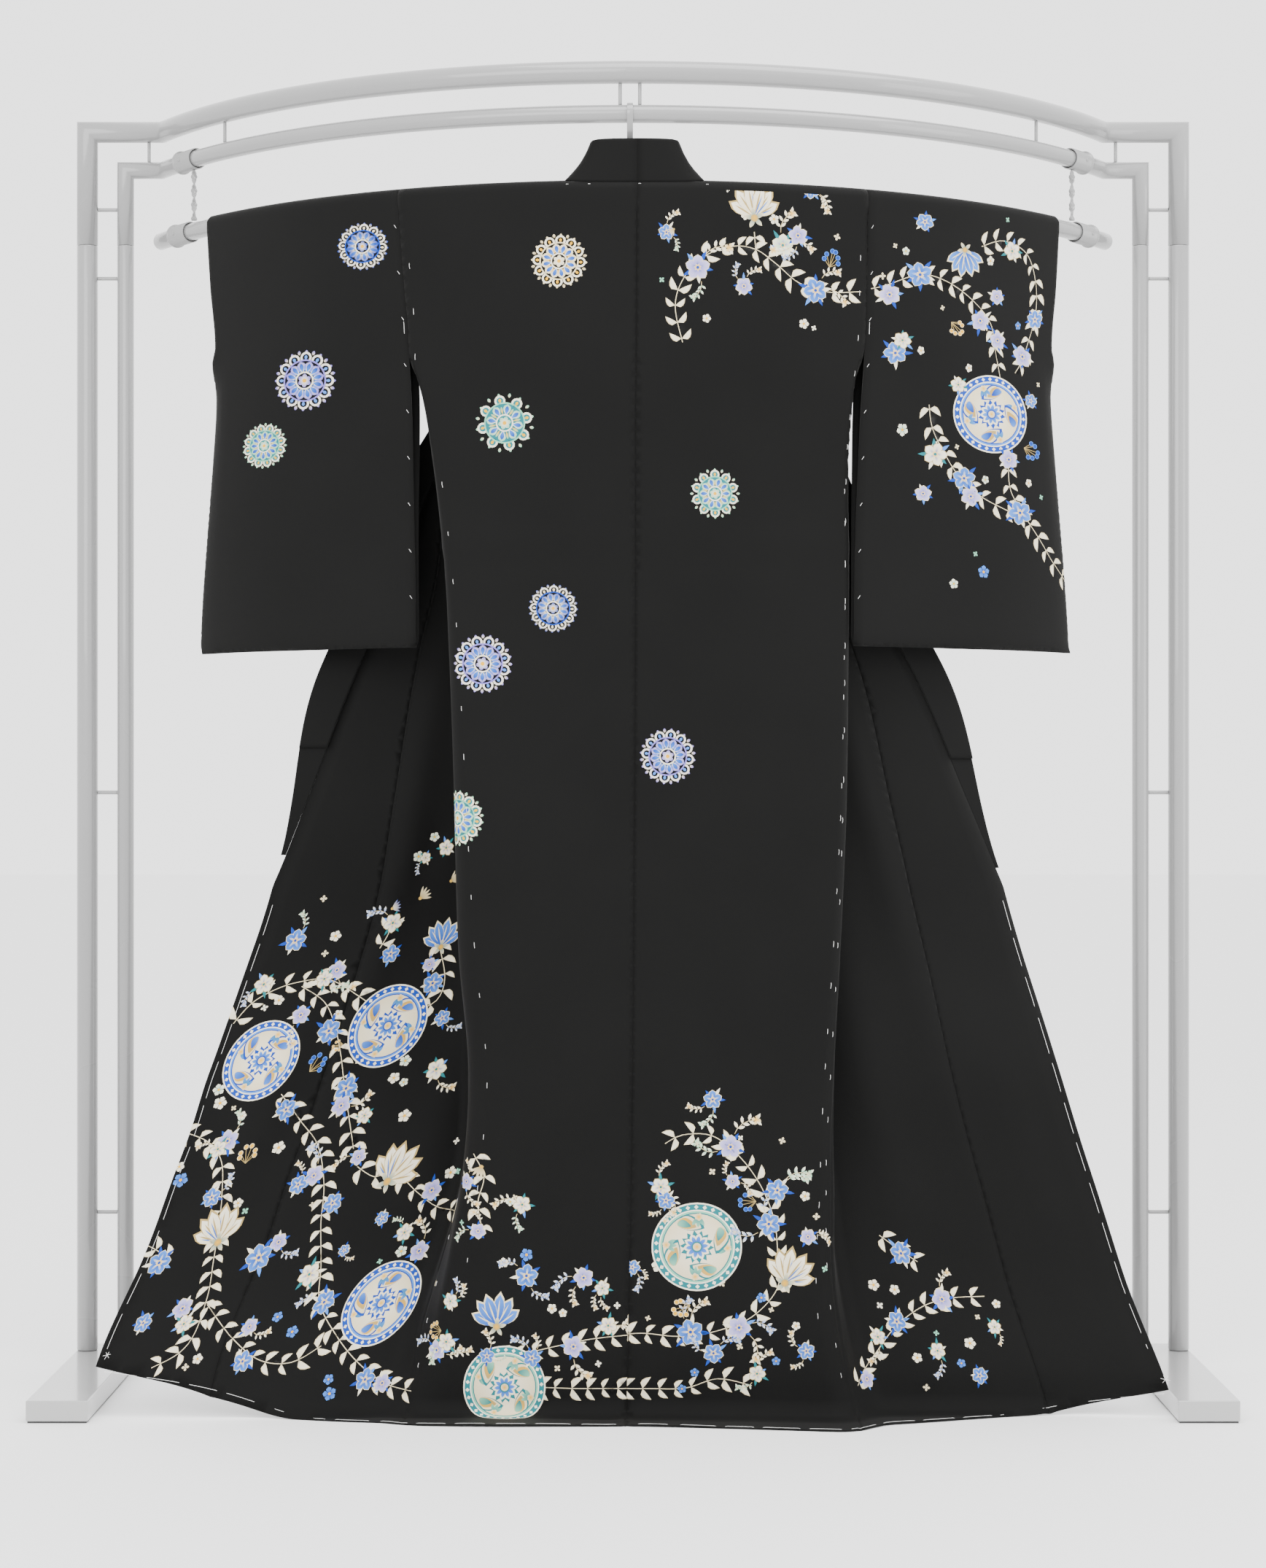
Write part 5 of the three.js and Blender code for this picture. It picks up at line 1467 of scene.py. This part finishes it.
for side, half in HALVES.items():
    foot = POLE_HEIGHT - SLEEVES[side][-1][0] + ROUND_HALF
    steps = int(foot / SLEEVE_EDGE_STEP)
    crossing = [SLEEVE_WIDTH * i / SLEEVE_COLUMNS for i in range(1, SLEEVE_COLUMNS)]
    lengths = [foot * i / steps for i in range(-steps, steps + 1)]
    path = [(0, s) for s in lengths] + [(a, foot) for a in crossing]
    path += [(SLEEVE_WIDTH, -s) for s in lengths] + [(SLEEVE_WIDTH - a, -foot) for a in crossing]
    lows = [foot - s for s in (0.6, 2, 4, 7, 10.5)]
    rows = int(foot / SLEEVE_ROW_STEP)
    spans = [SLEEVE_ROW_STEP * i for i in range(1 - rows, rows)]
    spans += [4 * i + 2 for i in range(-6, 6)] + lows + [-s for s in lows]
    cross = [SLEEVE_WIDTH * i / (SLEEVE_COLUMNS + 2) for i in range(1, SLEEVE_COLUMNS + 1)]
    cross += [SLEEVE_WIDTH - s for s in (14, 8, 4.5, 2, 0.8)]
    points = [(a, s) for s in spans for a in cross]
    shapes = shapes_on(path, draw(side[0].upper() + "S"))
    flat = flat_mesh(path, points, shapes)
    mesh = cloth_mesh(f"sleeve_{side}", flat, functools.partial(sleeve_point, half), shapes, side == "left")
    bm = bmesh.new()
    bm.from_mesh(mesh)
    bmesh.ops.remove_doubles(bm, verts=[v for v in bm.verts if v.is_boundary], dist=SLEEVE_MERGE)
    bm.to_mesh(mesh)
    bm.free()
    piece = cloth_piece(f"sleeve_{side}_cloth", mesh, f"sleeve_{side}")
    print(piece.name, len(mesh.polygons), "faces")

# %% [markdown]
# The collar is a long narrow strip. It stands up round the back of the neck, turns over each shoulder and
# edges the front down to the overlap. The over-collar is a second, shorter strip sewn on top of it in the
# same black crepe.

# %% Collars
NECK_STATIONS = (  # along the bow, degrees round the pole, inward, rear, up
    (0, 60, 0, -0.05, 1), (30, 60, 0.02, -0.03, 1), (58, 62, 0.14, 0, 1), (77, 68, 0.36, 0.06, 0.92),
    (87, 80, 0.6, 0.2, 0.76), (89, 97, 0.62, 0.4, 0.66), (90, 117, 0.5, 0.65, 0.56),
    (90, 140, 0.36, 0.82, 0.44), (90, 163, 0.2, 0.94, 0.28),
)
COLLAR_STEPS, COLLAR_WALL, TUCK, HANGING_TOP = 8, 2.4, 2.5, 1605
COLLAR_CHART_STEP, COLLAR_ROW_STEP = 7, 14


def collar_rows(half, last):
    rows = []
    for along, degrees, inward, rear, up in NECK_STATIONS:
        foot = Vector(round_pole(half, along, degrees, CLOTH_RADIUS + GAP))
        way = Vector((-half.sign * inward, rear, up)).normalized()
        reaches = [(COLLAR + TUCK) * i / COLLAR_STEPS - TUCK for i in range(COLLAR_STEPS + 1)]
        rows.append([foot + way * reach for reach in reaches])
    height = HANGING_TOP
    while height >= last:
        mark = 2 if height >= OVERLAP_TIP else 3
        real = half.height_at(height, mark)
        start = half.collar_seam(real) + GAP / 2
        step = half.collar_width(real) / COLLAR_STEPS
        hung = half.hung_at(height, mark)
        rows.append([Vector(half.place(start + step * i, hung)) for i in range(COLLAR_STEPS + 1)])
        height -= COLLAR_ROW_STEP
    return rows


def strip_piece(name, rows, half, out, wall, node):
    bm = bmesh.new()
    bm.loops.layers.uv.new("chart")
    bm.loops.layers.float_color.new("dye")
    grid = []
    for i, row in enumerate(rows):
        above, below = rows[max(i - 1, 0)], rows[min(i + 1, len(rows) - 1)]
        line = []
        for j, point in enumerate(row):
            aside = row[min(j + 1, len(row) - 1)] - row[max(j - 1, 0)]
            normal = (below[j] - above[j]).cross(aside).normalized()
            spot = part(*(point + normal * half.sign * out))
            spot.x = spot.x if i else CENTRE_LINE[0][2] * MM
            line.append((bm.verts.new(spot), (j * COLLAR_CHART_STEP * MM, i * COLLAR_ROW_STEP * MM)))
        grid.append(line)
    add_quads(bm, grid, half.side == "left")
    mesh = bpy.data.meshes.new(name)
    bm.to_mesh(mesh)
    bm.free()
    piece = cloth_piece(name, mesh, node, wall)
    smooth = piece.modifiers.new("soft", "SUBSURF")
    smooth.levels = smooth.render_levels = 1
    smooth.boundary_smooth = "PRESERVE_CORNERS"
    piece.modifiers.move(1, 0)
    return piece


for side, half in HALVES.items():
    under = strip_piece(
        f"collar_{side}_strip", collar_rows(half, COLLAR_END), half, 0, COLLAR_WALL, f"collar_{side}",
    )
    over = strip_piece(
        f"over_collar_{side}_strip", collar_rows(half, OVER_COLLAR_END), half,
        COLLAR_WALL / 2 + 5 * GAP + WALL / 2, WALL, f"over_collar_{side}",
    )
    print(under.name, over.name)

# %% [markdown]
# White basting thread marks the unsewn state of a made-to-order kimono: short stitches beside the side
# seams and down the sleeve seams, long ones along the front edges and the hem, and a few knots at the
# neck. Each stitch is a short round thread that dips into the cloth at both ends.

# %% Basting thread
thread_white, *_ = finish_with_grain(
    "basting_thread", {"Base Color": (0.86, 0.86, 0.84, 1), "Sheen Weight": 0.2}, "Object", 2500, 1, 30,
    (0.4, 0.0002), (0.6, 0.75),
)
THREAD, SHORT_STITCH, LONG_STITCH = 0.5, 9, 46
STITCH_LIFT, STITCH_END_LIFT, STITCH_BEND = 0.95, 0.1, 5


def stitch_run(skin, path, long, pause, dice):
    """Stitches along a measured chart path, as lists of points."""
    end = path[-1][0]
    runs, at = [], dice.uniform(0, pause)
    while at < end - 4:
        size = long * dice.uniform(0.8, 1.15)
        steps = max(3, int(size / STITCH_BEND))
        spots = np.array([chart_at(path, min(at + size * i / steps, end)) for i in range(steps + 1)])
        lift = np.full(steps + 1, STITCH_LIFT)
        lift[[0, -1]] = STITCH_END_LIFT
        runs.append(skin(spots[:, 0], spots[:, 1], lift))
        at += size + pause * dice.uniform(0.7, 1.3)
    return runs


def chart_at(path, distance):
    for (d0, a), (d1, b) in zip(path, path[1:]):
        if distance <= d1:
            f = (distance - d0) / (d1 - d0)
            return a[0] + (b[0] - a[0]) * f, a[1] + (b[1] - a[1]) * f
    return path[-1][1]


def measured(points):
    """Chart places with their distance in mm from the first one."""
    path, total = [(0, points[0])], 0
    for a, b in zip(points, points[1:]):
        total += math.dist(a, b)
        path.append((total, b))
    return path


dice = random.Random(5)
for side, half in HALVES.items():
    side_line = [(half.seam(height_of(v)) - 11, v) for v in range(60, 1600, 20)]
    fold_line = [(half.pieces(height_of(v))[0][0] + 4, v) for v in range(380, 1560, 20)]
    front_line = [(half.overlap_end(height_of(v)) - 7, v) for v in range(940, 1560, 20)]
    last = int(half.overlap_end(0)) - 8
    hem_line = [(u, half.hung_at(0, half.mark_at(u, 0)) - 9) for u in range(8, last, 12)]
    runs = []
    for line, long, pause in (
        (side_line, SHORT_STITCH, 44), (fold_line, SHORT_STITCH, 48),
        (front_line, LONG_STITCH, 9), (hem_line, LONG_STITCH, 9),
    ):
        runs += stitch_run(half.skin, measured(line), long, pause, dice)
    u, v = half.overlap_end(0) - 12, half.hung_at(0, 3) - 14
    reach, lift = np.array((-6, 0, 6)), np.array((0.3, 1.1, 0.3))
    for angle in (0.2, 1.25, 2.3):
        runs.append(half.skin(u + reach * math.cos(angle), v + reach * math.sin(angle), lift))
    for along in ((60, 88) if side == "left" else (4, 95)):
        spot = part(*round_pole(half, along, 30))
        runs.append([spot + Vector((k * 0.0016, -0.0009, 0.0005)) for k in (-1, 0, 1)])
    sleeve_skin = functools.partial(sleeve_point, half)
    for length in range(60, 600, 62):
        runs.append(sleeve_skin(np.array((4.6, 6, 7.4)), np.array((-2.1, 0, 2.1)) - length, STITCH_LIFT))
    runs.append(sleeve_skin(np.array((5, 5, 5)), np.array((-204, -196, -188)), 1.0))
    thread = bpy.data.curves.new(f"basting_{side}", "CURVE")
    thread.dimensions = "3D"
    thread.bevel_depth, thread.bevel_resolution, thread.use_fill_caps = THREAD * MM / 2, 1, True
    for points in runs:
        line = thread.splines.new("POLY")
        line.points.add(len(points) - 1)
        for knot, point in zip(line.points, points):
            knot.co = (*point, 1)
    piece = bpy.data.objects.new(f"basting_{side}_thread", thread)
    bpy.context.scene.collection.objects.link(piece)
    thread.materials.append(thread_white)
    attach(piece, "root")
    print(piece.name, len(runs), "stitches")
